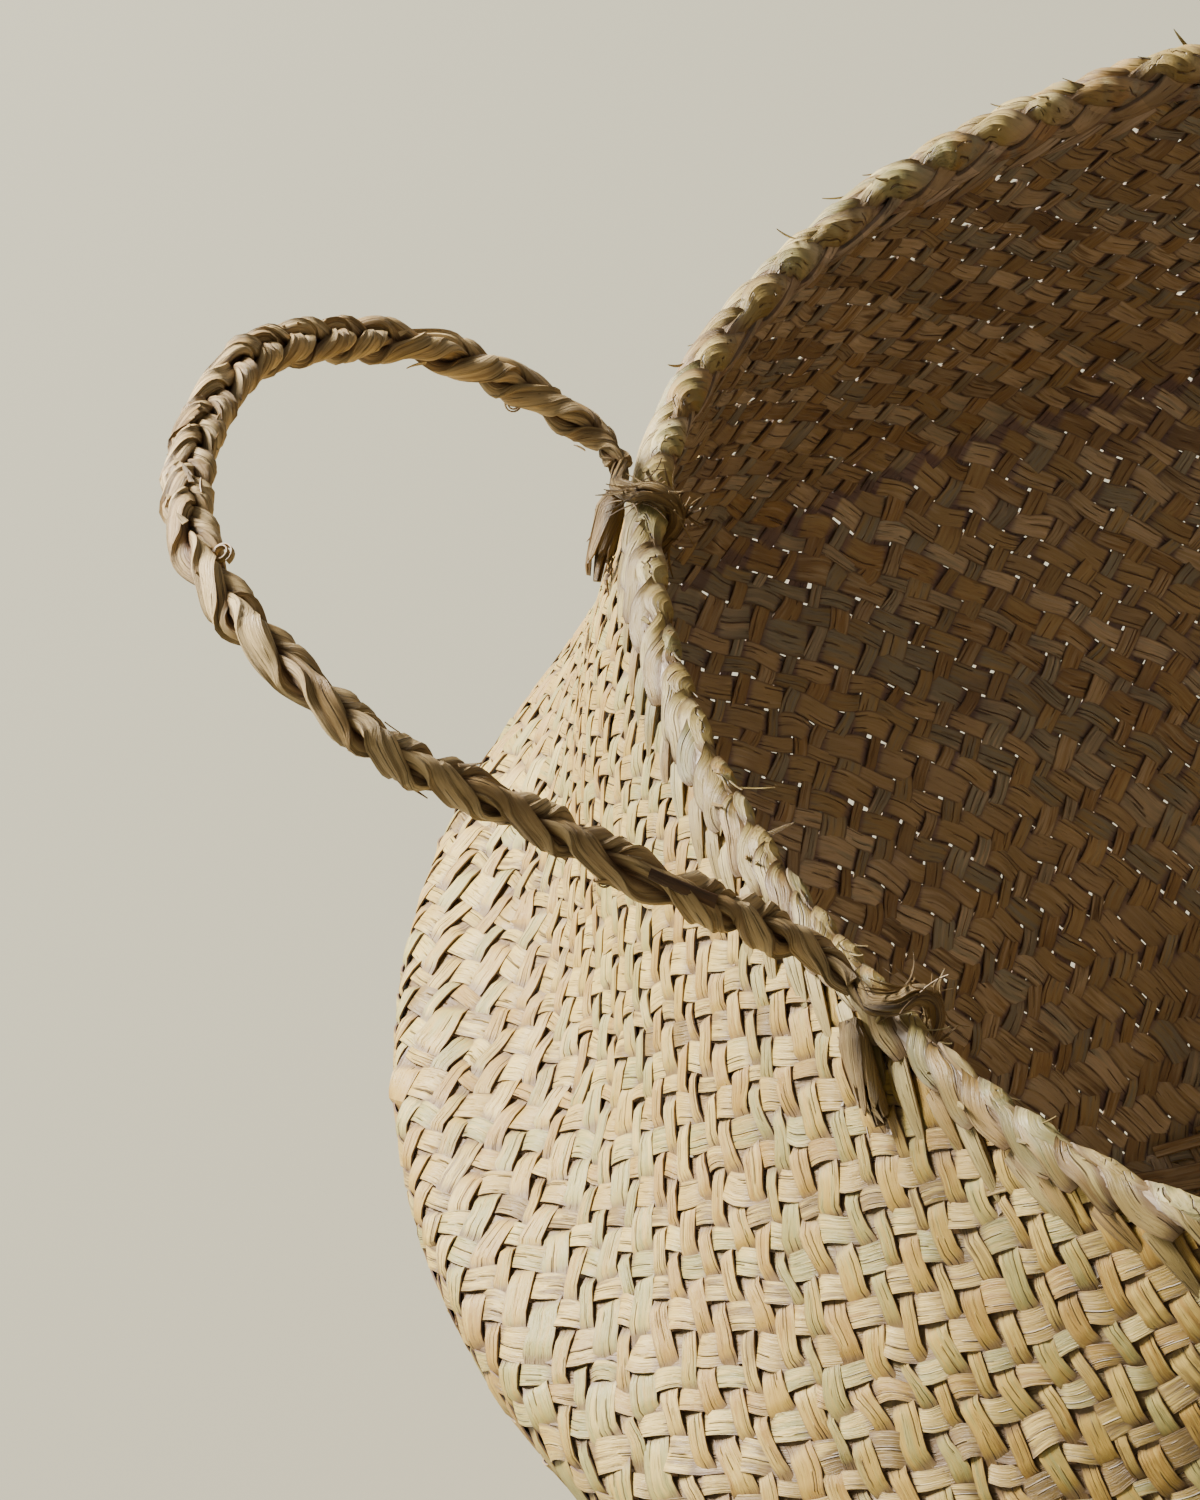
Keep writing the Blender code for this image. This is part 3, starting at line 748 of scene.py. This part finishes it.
def edgePlait(bundle):
    # each strand swings from side to side and is widest and on top on its way out from the middle
    b = braid
    ring = np.linspace(0, 2 * math.pi, b["coreRings"], endpoint=False)
    side, height = leafProfile.T
    uneven = 0.35 * np.sin(7 * ring) + 0.25 * np.sin(19 * ring + 2) + 0.15 * np.sin(31 * ring + 1)
    for strand in range(3):
        turn = b["waves"] * ring + 2 * math.pi * strand / 3 + uneven
        size = 1 + 0.12 * np.sin(23 * ring + strand) + 0.08 * np.sin(61 * ring + 2 * strand)
        sideways = b["middle"] + b["swing"] * size * np.sin(turn) + 0.0004 * np.sin(13 * ring)
        ahead = rimRadius(ring) * ring[1]
        slope = (np.roll(sideways, -1) - np.roll(sideways, 1)) / 2 / ahead
        square = np.stack([-slope, np.ones_like(slope)], -1) / np.hypot(slope, 1)[:, None]
        wide = b["strand"] * size * (b["narrow"] + (1 - b["narrow"]) * np.abs(np.cos(turn)) ** 0.8)
        offset = side * wide[:, None] / 2
        angles = ring[:, None] + offset * square[:, :1] / rimRadius(ring)[:, None]
        lifts = (b["standOff"] + b["rise"] * np.sin(2 * turn)[:, None] + height * b["thickness"]
                 - b["fold"] * np.sin(turn)[:, None] * side - b["arch"] * side**2)
        places = edgePlace(angles, sideways[:, None] + offset * square[:, 1:], lifts)[0]
        # painted shade where a strand dips under the others, and along its sides
        under = np.clip(-np.sin(2 * turn), 0, 1)[:, None] + 0.8 * np.clip(np.abs(side) - 0.6, 0, 1)
        tone = 0.25 * strand + 0.3 * np.sin(5 * ring + strand) ** 2
        # the part inside the mouth takes the inner side's colour, partly painted shade
        inner = np.clip((-sideways - 0.001) / 0.004, 0, 1)[:, None]
        run = np.cumsum(np.full(len(ring), ahead.mean()))[:, None] * 110
        bundle.rings(places[None], (side + 1) / 2, run, tone[:, None], inner, under, closed=True)


def overEdge(bundle):
    # leaves that cross the edge on a slant; each is bent round it and lies with one side over its neighbour
    b = braid
    count = b["leaves"]
    side, height = leafProfile.T
    share = np.linspace(0, 1, b["leafRings"])[None]
    first = (np.arange(count) + dice.uniform(-0.2, 0.2, count))[:, None] * 2 * math.pi / count
    along = b["leafReach"] * dice.uniform(0.85, 1.15, (count, 1)) * share
    sideways = b["leafStart"] + (b["leafEnd"] - b["leafStart"]) * share
    sideways = sideways + 0.0005 * np.sin(share * 9 + dice.uniform(0, 6, (count, 1)))
    sideways = sideways + 0.0006 * dice.uniform(-1, 1, (count, 1))
    steps = np.stack([np.gradient(along, axis=1), np.gradient(sideways, axis=1)], -1)
    square = unit(np.stack([-steps[..., 1], steps[..., 0]], -1))
    tucked = 1 - np.sin(math.pi * np.clip(share, 0, 1)) ** 0.5
    wide = b["leafWidth"] * dice.uniform(0.8, 1.15, (count, 1)) * (1 - b["leafTaper"] * tucked)
    tucked = tucked[..., None]
    offset = side * wide[..., None] / 2
    angles = first[..., None] + (along[..., None] + offset * square[..., :1]) / rimRadius(first)[..., None]
    lifts = (b["leafLift"] - b["leafTuck"] * tucked + b["leafShingle"] * side + height * b["thickness"]
             + 0.00012 * np.sin(side * 5 + dice.uniform(0, 6, (count, 1, 1))))
    places = edgePlace(angles, sideways[..., None] + offset * square[..., 1:], lifts)[0]
    # painted shade on the side of each leaf that lies under its neighbour, and where it tucks in
    under = np.clip((-side - 0.1) * 1.3, 0, 1) + tucked
    tone = dice.random(count)[:, None, None]
    bundle.rings(places, (side + 1) / 2, along[..., None] * 100, tone, 0.0, under)


def braidedEdge(finish):
    # a round core along the edge, the leaves over it, the plait, and stray tips
    b = braid
    bundle = Bundle()
    angle = np.linspace(0, 2 * math.pi, b["coreRings"], endpoint=False)[None]
    core, away = edgePlace(angle, 0 * angle, 0 * angle + b["coreLift"])
    tangent = unit(np.roll(core, -1, axis=1) - np.roll(core, 1, axis=1))
    across, width = unit(np.cross(away, tangent)), b["coreWidth"]
    # the core takes the inner side's colour, partly painted shade
    bundle.sweep(core, across, away, width, width, [0.3], roundProfile, closed=True, inner=1)
    overEdge(bundle)
    edgePlait(bundle)
    starts = dice.integers(0, b["coreRings"], b["tips"])
    sideways = dice.uniform(*b["tipSides"], b["tips"])
    place, outward = edgePlace(angle[0, starts], sideways, np.full(b["tips"], b["tipLift"]))
    free = unit(tangent[0, starts] + 0.4 * dice.normal(0, 1, (b["tips"], 3)))
    looseTips(bundle, place, free, outward, drawTips(b["tips"], b["tipSizes"]))
    return bundle.make("edge_braid", finish)


edge = braidedEdge(edgeFinish)
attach(edge, "basket")
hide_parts("rim_cord")


# how far down they start is one value outside and one inside
edgeLeaf = {"count": 104, "length": 0.0115, "width": 0.0036, "thickness": 0.0005, "slope": math.radians(32),
            "startDown": (0.0030, 0.0082), "lift": 0.0011, "bow": 0.0005, "endDown": 0.0010, "taper": 0.75,
            "roll": math.radians(8), "rings": 10}


def edgeLeaves(name, inside, finish):
    # the strips' ends by the edge: flat leaves that start under the braid and lean away from it, round the
    # mouth. Each bows off the wall by a sine and comes back to it with the share squared.
    e = edgeLeaf
    count = e["count"]
    share = np.linspace(0, 1, e["rings"])[None]
    start = (np.arange(count) + dice.uniform(-0.18, 0.18, count))[:, None] * 2 * math.pi / count
    length = e["length"] * dice.uniform(0.85, 1.2, (count, 1))
    slope = e["slope"] * dice.uniform(0.75, 1.3, (count, 1))
    radius = rimRadius(start)
    angle = start + share * length * np.cos(slope) / radius
    down = e["startDown"][int(inside)] + share * length * np.sin(slope) * (0.6 + 0.4 * share)
    point, along, up, outward = wallFrame(angle, highestRun - down)
    side = -1 if inside else 1
    bow = np.sin(math.pi * np.clip(share * 1.05, 0, 1))
    lift = side * (e["lift"] + e["bow"] * bow - e["endDown"] * share**2)
    centre = point + lift[..., None] * outward
    facing = outward * side
    across = acrossPath(centre, facing)
    roll = e["roll"] * dice.uniform(-1, 1, (count, 1))
    across, facing = turned(roll, across, facing), turned(roll, facing, -across)
    width = e["width"] * dice.uniform(0.8, 1.15, (count, 1)) * (1 - e["taper"] * share**3)
    bundle = Bundle()
    # the inside leaves take the inner side's colour, partly painted shade
    bundle.sweep(centre, across, facing, width, e["thickness"], dice.random(count), inner=1 if inside else 0)
    return bundle.make(name, finish)


outerLeaves = edgeLeaves("edge_leaves_outside", False, edgeFinish)
innerLeaves = edgeLeaves("edge_leaves_inside", True, edgeFinish)
for piece in (outerLeaves, innerLeaves):
    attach(piece, "basket")
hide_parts("rim_band")
print("edge ready")


# the handles

rope = {
    "radius": 0.0037, "step": 0.0009,
    # three plaited strands: length of a full swing, how far they swing and dive, and their half widths across
    # and through
    "lay": 0.0390, "swing": 0.0023, "dive": 0.0015, "strandWide": 0.0026, "strandThick": 0.0018,
    "leaves": 4, "leafPoints": 6, "leafTwist": 70.0, "leafDepth": 0.26,
    "twistedWide": 1.14, "twistedThick": 0.92,      # half widths of twisted strands, in radii
    "endShare": 0.60, "endRun": 0.018,       # how far it narrows towards its two ends, and over what length
    # how brown the rope is along its length: pairs of the share from the back end, and the darkening
    "darkerAlong": [(0, 0.20), (0.12, 0.13), (0.3, 0.0), (0.62, 0.0), (0.78, 0.18), (1, 0.34)],
    # stray tips: how many, and their length, width and curl
    "tips": 34, "tipSizes": ((0.002, 0.005), (0.0004, 0.0012), (0.0, 0.5)),
    # small curls of leaf that stand on the rope: share of its length, which way they face, and size
    "curls": [(0.078, (-0.1, -0.5, -0.9), 0.0015), (0.578, (0.9, -0.4, 0.3), 0.0019),
              (0.852, (0.1, -0.5, -0.9), 0.0012)],
    # a cut end that lies on the rope: shares where it starts and ends, which way it lies off, and radius
    "stub": (0.874, 0.914, (-0.1, -0.62, 0.78), 0.0011),
    # where its ends stand at the mouth, how far the loop reaches and is lifted from level, and its outline:
    # shares of the way between its ends and of its depth
    "backAngle": math.radians(31), "frontAngle": math.radians(27), "depth": 0.108, "lift": math.radians(38),
    "shape": [(0.000, 0.00), (-0.045, 0.022), (-0.075, 0.08), (-0.105, 0.19), (-0.100, 0.35), (-0.030, 0.54),
              (0.080, 0.72), (0.220, 0.842), (0.380, 0.94), (0.550, 0.996), (0.680, 0.965), (0.790, 0.87),
              (0.865, 0.75), (0.880, 0.62), (0.900, 0.50), (0.932, 0.32), (0.943, 0.13), (0.960, 0.05),
              (1.000, 0.00)],
    "cordRadius": 0.0024, "gap": 0.0003, "wallThickness": 0.0030,
}


def edgeVectors(angle):
    # unit vectors on the outside at the mouth's edge: along the ring, up the wall and outwards
    step = 5e-4
    along = unit(skin(angle + step, 1.0) - skin(angle - step, 1.0))
    up = unit(skin(angle, 1.0 + step) - skin(angle, 1.0 - step))
    return along, up, unit(np.cross(along, up))


def cordCentre(angle):
    # the middle of the CAD's edge cord: above the wall's middle by the cord's radius and a gap
    along, up, outward = edgeVectors(angle)
    return skin(angle, 1.0) - outward * rope["wallThickness"] / 2 + up * (rope["gap"] + rope["cordRadius"])


def ropeEnd(angle):
    # the middle of the rope where it passes the cord, outside it
    return cordCentre(angle) + edgeVectors(angle)[2] * (rope["cordRadius"] + rope["gap"] + rope["radius"])


def smoothPath(corners, spacing):
    # Catmull-Rom through the corners, then points evenly spaced along it
    corners = np.asarray(corners, float)
    held = np.concatenate([2 * corners[:1] - corners[1:2], corners, 2 * corners[-1:] - corners[-2:-1]])
    before, start, end, after = (row[:, None] for row in (held[:-3], held[1:-2], held[2:-1], held[3:]))
    share = np.linspace(0, 1, 24, endpoint=False)[None, :, None]
    fine = start + ((end - before) * share + (2 * before - 5 * start + 4 * end - after) * share**2
                    + (3 * start - before - 3 * end + after) * share**3) / 2
    fine = np.concatenate([fine.reshape(-1, 3), corners[-1:]])
    run = runAlong(fine)
    return readAt(np.linspace(0, run[-1], max(int(run[-1] / spacing), 4)), run, fine)


def carriedFrame(centre):
    # tangent and two normals that are carried along the path with no twist of their own
    tangent = unit(np.gradient(centre, axis=0))
    normal = np.empty_like(tangent)
    normal[0] = unit(np.cross(tangent[0], [0.3, 0.2, 1.0]))
    for index in range(1, len(tangent)):
        carried = normal[index - 1] - tangent[index] * (normal[index - 1] @ tangent[index])
        normal[index] = carried / np.linalg.norm(carried)
    return tangent, normal, np.cross(tangent, normal)


def leafRoll(bundle, centre, normal, run, wide, thick, groove, strand):
    # a strand rolled of overlapping leaves: the radius steps down across each leaf, and the leaves turn
    # slowly round the strand. groove gives the painted shade from a point's place and its height on the
    # strand.
    leaves, points = rope["leaves"], rope["leafPoints"]
    column = np.arange(leaves * points)
    within = (column % points) / (points - 1)
    ahead = unit(np.gradient(centre, axis=0))
    out = unit(normal - ahead * (normal * ahead).sum(-1, keepdims=True))
    across = np.cross(out, ahead)
    roll = -rope["leafTwist"] * run[:, None] + 0.5 * np.sin(run * 130 + strand)[:, None]
    angle = 2 * math.pi * (column + 0.25 * np.sin(column * 2.3))[None] / len(column) + roll
    depth = rope["leafDepth"] * (1 + 0.5 * np.sin(run[:, None] * 190 + column // points * 1.9))
    swell = (1 + 0.10 * np.sin(run * 210 + strand * 2.1) + 0.06 * np.sin(run * 470 + strand))[:, None]
    sideways = np.cos(angle) * swell * wide * (1 - depth * within)
    lift = np.sin(angle) * swell * thick * (1 - depth * within)
    places = centre[:, None] + sideways[..., None] * across[:, None] + lift[..., None] * out[:, None]
    tone = dice.random() * 0.6 + 0.4 * dice.random(leaves)[column // points]
    bundle.rings(places[None], within, run[:, None] * 100, tone, groove(places, np.sin(angle)))


def plaitedStrands(bundle, path, face, darkerAlong):
    # three strands swing from edge to edge of a flat plait, and pass over the next on their way out
    r = rope
    tangent = unit(np.gradient(path, axis=0))
    side = unit(np.cross(face, tangent))
    front = np.cross(tangent, side)
    run = runAlong(path)
    size = r["endShare"] + (1 - r["endShare"]) * easeBetween(np.minimum(run, run[-1] - run), 0, r["endRun"])

    def groove(places, height):
        # painted shade: darker towards the plait's middle, where the strands meet, and never lighter than the
        # darkening along the rope
        off = (places - path[:, None]) / size[:, None, None]
        far = np.hypot((off * side[:, None]).sum(-1) / (r["swing"] + r["strandWide"]),
                       (off * front[:, None]).sum(-1) / (r["dive"] + r["strandThick"]))
        return np.maximum(np.clip((0.80 - far) / 0.32, 0, 1), darkerAlong[:, None])

    for strand in range(3):
        turn = 2 * math.pi * (run / r["lay"] + strand / 3) + 0.35 * np.sin(run * 83) + 0.2 * np.sin(run * 197)
        centre = (path + side * (r["swing"] * size * np.sin(turn))[:, None]
                  + front * (r["dive"] * size * np.sin(2 * turn))[:, None])
        normal = (-2 * r["dive"] * np.cos(2 * turn)[:, None] * side
                  + r["swing"] * np.cos(turn)[:, None] * front)
        wide, thick = r["strandWide"] * size[:, None], r["strandThick"] * size[:, None]
        leafRoll(bundle, centre, normal, run, wide, thick, groove, strand)


def twistedStrands(bundle, path, strandRadius, strandOut, lay, taper=1.0):
    # three strands wind round the path. Where they touch, the attribute inward darkens them with
    # painted shade, most on each strand's side towards the others.
    tangent, normal, side = carriedFrame(path)
    run = runAlong(path)
    taper = np.broadcast_to(taper, len(path))[:, None]
    wide, thick = strandRadius * taper * rope["twistedWide"], strandRadius * taper * rope["twistedThick"]

    def groove(places, height):
        return np.clip((0.55 - height) / 0.8, 0, 1)

    for strand in range(3):
        turn = 2 * math.pi * run / lay + 2 * math.pi * strand / 3 + 0.30 * np.sin(run * 83)
        away = turned(turn, normal, side)
        leafRoll(bundle, path + away * strandOut * taper, away, run, wide, thick, groove, strand)


def ropeTips(bundle, path, radius, shares, sizes):
    # loose tips that stand off a rope at these shares of its length, all round it
    tangent, normal, side = carriedFrame(path)
    at = np.clip((np.asarray(shares) * (len(path) - 1)).astype(int), 1, len(path) - 2)
    turn = dice.uniform(0, 2 * math.pi, len(at))
    outward = turned(turn, normal[at], side[at])
    forward = tangent[at] * np.where(dice.random(len(at)) < 0.5, -1, 1)[:, None]
    forward = unit(forward + 0.35 * np.cross(outward, forward))
    looseTips(bundle, path[at] + outward * radius, forward, outward, sizes)


def ropeCurl(bundle, path, share, facing, size):
    # a leaf wound into a small coil: its radius shrinks with the turn, and it moves a little sideways
    index = int(share * (len(path) - 1))
    ahead = unit(np.gradient(path, axis=0))[index]
    facing = unit(facing - (facing @ ahead) * ahead)
    sideways = np.cross(ahead, facing)
    turn = np.linspace(0, 3.4 * math.pi, 30)
    radius = size * (1 - 0.55 * turn / turn[-1])
    spoke = turned(turn, ahead, facing)
    centre = (path[index] + facing * (rope["radius"] * 0.9) + spoke * radius[:, None]
              + np.outer(turn * 0.00007, sideways))
    across = np.broadcast_to(sideways, centre.shape)
    bundle.sweep(centre[None], across[None], spoke[None], 0.0012, 0.0003, dice.random(1), inner=0)


def ropeStub(bundle, path):
    # a short round stalk beside the rope, nearer to it and thicker at its end
    start, end, off, radius = rope["stub"]
    off = unit(np.array(off))
    points = readAt(np.linspace(start, end, 12) * (len(path) - 1), np.arange(len(path)), path)
    centre = (points + off * rope["radius"] * np.linspace(1.25, 0.95, 12)[:, None])[None]
    facing = np.broadcast_to(off, centre.shape)
    across, width = acrossPath(centre, facing), 2 * radius * np.linspace(0.8, 1.1, 12)[None]
    # the stub takes the colour of the rope's painted groove shade all over
    bundle.sweep(centre, across, facing, width, 1.6 * radius, [0.98], roundProfile, inner=1)


def handleEnds(side):
    # the angles of a handle's back and front end, and which way round the ring leads away from the loop
    back, front = rope["backAngle"], -rope["frontAngle"]
    return (math.pi - back, math.pi - front, 1) if side == "left" else (back, front, -1)


def handleRope(side, finish):
    # the loop lies in a plane through its two ends, lifted from level; its outline is the table of shares
    backAngle, frontAngle, turn = handleEnds(side)
    back, front = ropeEnd(backAngle), ropeEnd(frontAngle)
    along = unit(front - back)
    level = (back + front) / 2 * np.array([1, 1, 0])
    level = unit(level - (level @ along) * along)
    upward = np.cross(level, along)
    upward = upward * np.sign(upward[2])
    out = math.cos(rope["lift"]) * level + math.sin(rope["lift"]) * upward
    shares = np.array(rope["shape"]) * [np.linalg.norm(front - back), rope["depth"]]
    path = smoothPath(back + shares[:, :1] * along + shares[:, 1:] * out, rope["step"])
    bundle = Bundle()
    darkerAlong = np.interp(np.linspace(0, 1, len(path)), *np.transpose(rope["darkerAlong"]))
    plaitedStrands(bundle, path, unit(np.cross(out, along)), darkerAlong)
    count = rope["tips"]      # and a third more round the middle
    shares = np.concatenate([dice.uniform(0.02, 0.98, count), dice.normal(0.50, 0.05, count // 3)])
    ropeTips(bundle, path, rope["radius"] * 0.90, shares, drawTips(len(shares), rope["tipSizes"]))
    for share, facing, size in rope["curls"]:
        ropeCurl(bundle, path, share, np.array(facing), size)
    ropeStub(bundle, path)
    piece = bundle.make(f"{side}_handle_twist", finish)
    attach(piece, f"{side}_handle")
    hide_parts(f"{side}_handle_rope")


binding = {
    # the way that the strands take: how deep the wall's hole lies, how far they run beside the rope, how far
    # from the cord they pass over it and down inside, and the bend into the wall
    "bandHeight": 0.012, "holeClearance": 0.0005, "strandRadius": 0.0026,
    "run": 0.0045, "reach": 0.0044, "inside": 0.0048, "bend": 0.0026,
    # the tail outside: how it lies on the wall, and its width at its end as a share of that at its start
    "tailRadius": 0.0030, "tailLength": 0.0140, "tailTip": 0.38,
    "tailSlope": math.radians(40), "tailSetBack": 0.0060, "tailDown": 0.0038,
    # twisted strands: radius, distance from the middle, and length of a turn
    "wrapStrands": (0.0010, 0.0008, 0.030), "tailStrands": (0.0013, 0.0010, 0.040), "tailNarrow": 0.9,
    # leaves round them: how many, twist, narrowing and splay
    "wrapRadius": 0.0018, "wrapLeaves": (12, 2.4, 0.0, 0.1), "tailLeaves": (14, 1.3, 0.30, 0.30),
    # tips: how many, between which shares of the length, how far out, and their length, width and curl
    "fringe": (46, (0.22, 0.62), 0.0018, ((0.003, 0.008), (0.00025, 0.0006), (0.4, 1.2))),
    "fray": (14, (0.3, 1.0), 0.0020, ((0.002, 0.005), (0.0003, 0.0009), (-0.2, 0.5))),
}


def leavesRound(bundle, points, normal, radius, count, twist, narrowing, splay):
    # flat leaves laid round a middle line, each on a slow helix and splayed by the share squared; they end
    # one after another and come to points
    ahead = unit(np.gradient(points, axis=0))
    side = np.cross(normal, ahead)
    share = np.linspace(0, 1, len(points))
    for index in range(count):
        at = share * dice.uniform(0.62, 1.0)
        turn = 2 * math.pi * (index + dice.uniform(-0.2, 0.2)) / count + twist * at
        away = turned(turn, side, normal)
        off = radius * (0.85 - narrowing * at + splay * at**2 * dice.uniform(-0.3, 1))
        off = off * np.clip(0.4 + 3 * at, 0, 1)
        centre = (readAt(at, share, points) + away * off[:, None])[None]
        width = 8.05 * radius / count * (1 - 0.5 * narrowing * share) * dice.uniform(0.6, 1.1)
        width[-2:] = width[-2:] * [0.6, 0.15]
        bundle.sweep(centre, acrossPath(centre, away[None]), away[None], width[None], 0.0005, dice.random(1),
                     inner=0)


def addTips(bundle, path, values):
    # stray tips at random shares of a path, from one entry of the dictionary
    count, between, radius, sizes = values
    ropeTips(bundle, path, radius, dice.uniform(*between, count), drawTips(count, sizes))


def bindingPieces(side, end, finish):
    # strands from the rope's end over the braid, down inside and into the wall, and the tail outside
    b, stand = binding, rope["radius"] + rope["gap"]
    backAngle, frontAngle, turn = handleEnds(side)
    endAngle = backAngle if end == "back" else frontAngle
    angle = endAngle + turn * (stand + b["run"]) / rimRadius(endAngle)
    along, up, outward = edgeVectors(angle)
    centre = cordCentre(angle)
    depth = b["bandHeight"] + rope["gap"] + b["holeClearance"] + b["strandRadius"]
    drop = depth + rope["gap"] + rope["cordRadius"]
    forward = along * turn
    beside = ropeEnd(endAngle) + forward * np.array([[0.0], [stand], [stand + b["run"] / 2]])
    over = centre + b["reach"] * turned(np.radians(np.arange(30, 150, 25)), outward, up)
    down = centre - outward * b["inside"] - up * drop * np.array([[0.0], [0.4]])
    corner = centre - outward * (b["inside"] - b["bend"]) - up * (drop - b["bend"])
    into = corner - b["bend"] * turned(np.radians(np.arange(0, 91, 30)), outward, up)
    last = (centre - up * drop)[None]
    path = smoothPath(np.concatenate([beside, over, down, into, last]), rope["step"])
    wraps = Bundle()
    twistedStrands(wraps, path, *b["wrapStrands"])
    leavesRound(wraps, path, carriedFrame(path)[1], b["wrapRadius"], *b["wrapLeaves"])
    addTips(wraps, path, b["fringe"])
    wrap = wraps.make(f"{side}_{end}_strands", finish)
    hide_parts(f"{side}_{end}_wrap")
    # the tail's line goes slantwise down the outside, laid on the wall
    share = np.linspace(-0.12, 1, 20)
    forwards = b["tailLength"] * math.cos(b["tailSlope"]) * share - b["tailSetBack"]
    downs = b["tailDown"] + b["tailLength"] * math.sin(b["tailSlope"]) * share
    angles = angle + turn * forwards / rimRadius(endAngle)
    slant = np.hypot(rimHeight(angles) - bellyHeight(angles), basket["bellyRadius"] - rimRadius(angles))
    levels = 1 - downs / slant
    width = 1 - (1 - b["tailTip"]) * np.maximum(share, 0)
    normal = skinNormal(angles, levels)
    points = skin(angles, levels) + normal * (rope["gap"] + b["tailRadius"] * width[:, None])
    tails = Bundle()
    twistedStrands(tails, points, *b["tailStrands"], taper=width * b["tailNarrow"])
    leavesRound(tails, points, normal, b["tailRadius"], *b["tailLeaves"])
    addTips(tails, points, b["fray"])
    tail = tails.make(f"{side}_{end}_bound_end", finish)
    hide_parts(f"{side}_{end}_tail")
    for piece in (wrap, tail):
        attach(piece, "basket")


for side in ("left", "right"):
    handleRope(side, ropeFinish)
    for end in ("back", "front"):
        bindingPieces(side, end, boundFinish)
print("handles ready")


# floor, light and camera

studio = {
    "floor": (0.274, 0.259, 0.191), "floorSize": 16.0, "sky": (1.0, 0.95, 0.84), "skyStrength": 0.27,
    "keyPlace": (-2.35, 2.15, 2.25), "keyAim": (0, 0, 0.12), "keySize": 1.4, "keyPower": 780.0,
    "keyColour": (1.0, 0.98, 0.935),
    "eye": (-0.2728, -0.8893, 0.9284), "forward": (0.1014, 0.7824, -0.6144), "up": (0.1977, 0.5894, 0.7832),
    "focal": 6922.7, "imageHeight": 1500, "sensor": 36,      # focal length and height in pixels, sensor in mm
}


def floorPiece():
    # one square under the basket
    size = studio["floorSize"] / 2
    mesh = bpy.data.meshes.new("floor")
    corners = [(-size, -size, 0), (size, -size, 0), (size, size, 0), (-size, size, 0)]
    mesh.from_pydata(corners, [], [(0, 1, 2, 3)])
    paint = Paint("floor_paint", 0.9)
    grain = paint.spots(6.0, 4.0)
    shade = studio["floor"]
    paint.link(paint.mix(grain, colour(*shade), colour(*(value * 0.97 for value in shade))), "Base Color")
    mesh.materials.append(paint.material)
    piece = addObject("floor", mesh)


def lookFrom(place, forward, up):
    # a camera or light looks along its own -Z with +Y up
    back = -Vector(forward).normalized()
    right = Vector(up).cross(back).normalized()
    return Matrix.Translation(place) @ Matrix((right, back.cross(right), back)).transposed().to_4x4()


def lightsAndCamera():
    # an even sky, one large soft lamp behind on the left, and the camera that the photograph's outlines gave
    world = bpy.data.worlds.new("studio")
    bpy.context.scene.world = world
    world.use_nodes = True
    sky = world.node_tree.nodes["Background"]
    sky.inputs[0].default_value = (*studio["sky"], 1)
    sky.inputs[1].default_value = studio["skyStrength"]
    lamp = bpy.data.lights.new("key", "AREA")
    lamp.energy, lamp.size, lamp.color = studio["keyPower"], studio["keySize"], studio["keyColour"]
    aim = Vector(studio["keyAim"]) - Vector(studio["keyPlace"])
    addObject("key", lamp).matrix_world = lookFrom(studio["keyPlace"], aim, (0, 0, 1))
    lens = bpy.data.cameras.new("camera")
    lens.sensor_width = studio["sensor"]
    lens.lens = studio["focal"] / studio["imageHeight"] * lens.sensor_width
    lens.clip_end = 50
    camera = addObject("camera", lens)
    camera.matrix_world = lookFrom(studio["eye"], studio["forward"], studio["up"])
    bpy.context.scene.camera = camera


floorPiece()
lightsAndCamera()
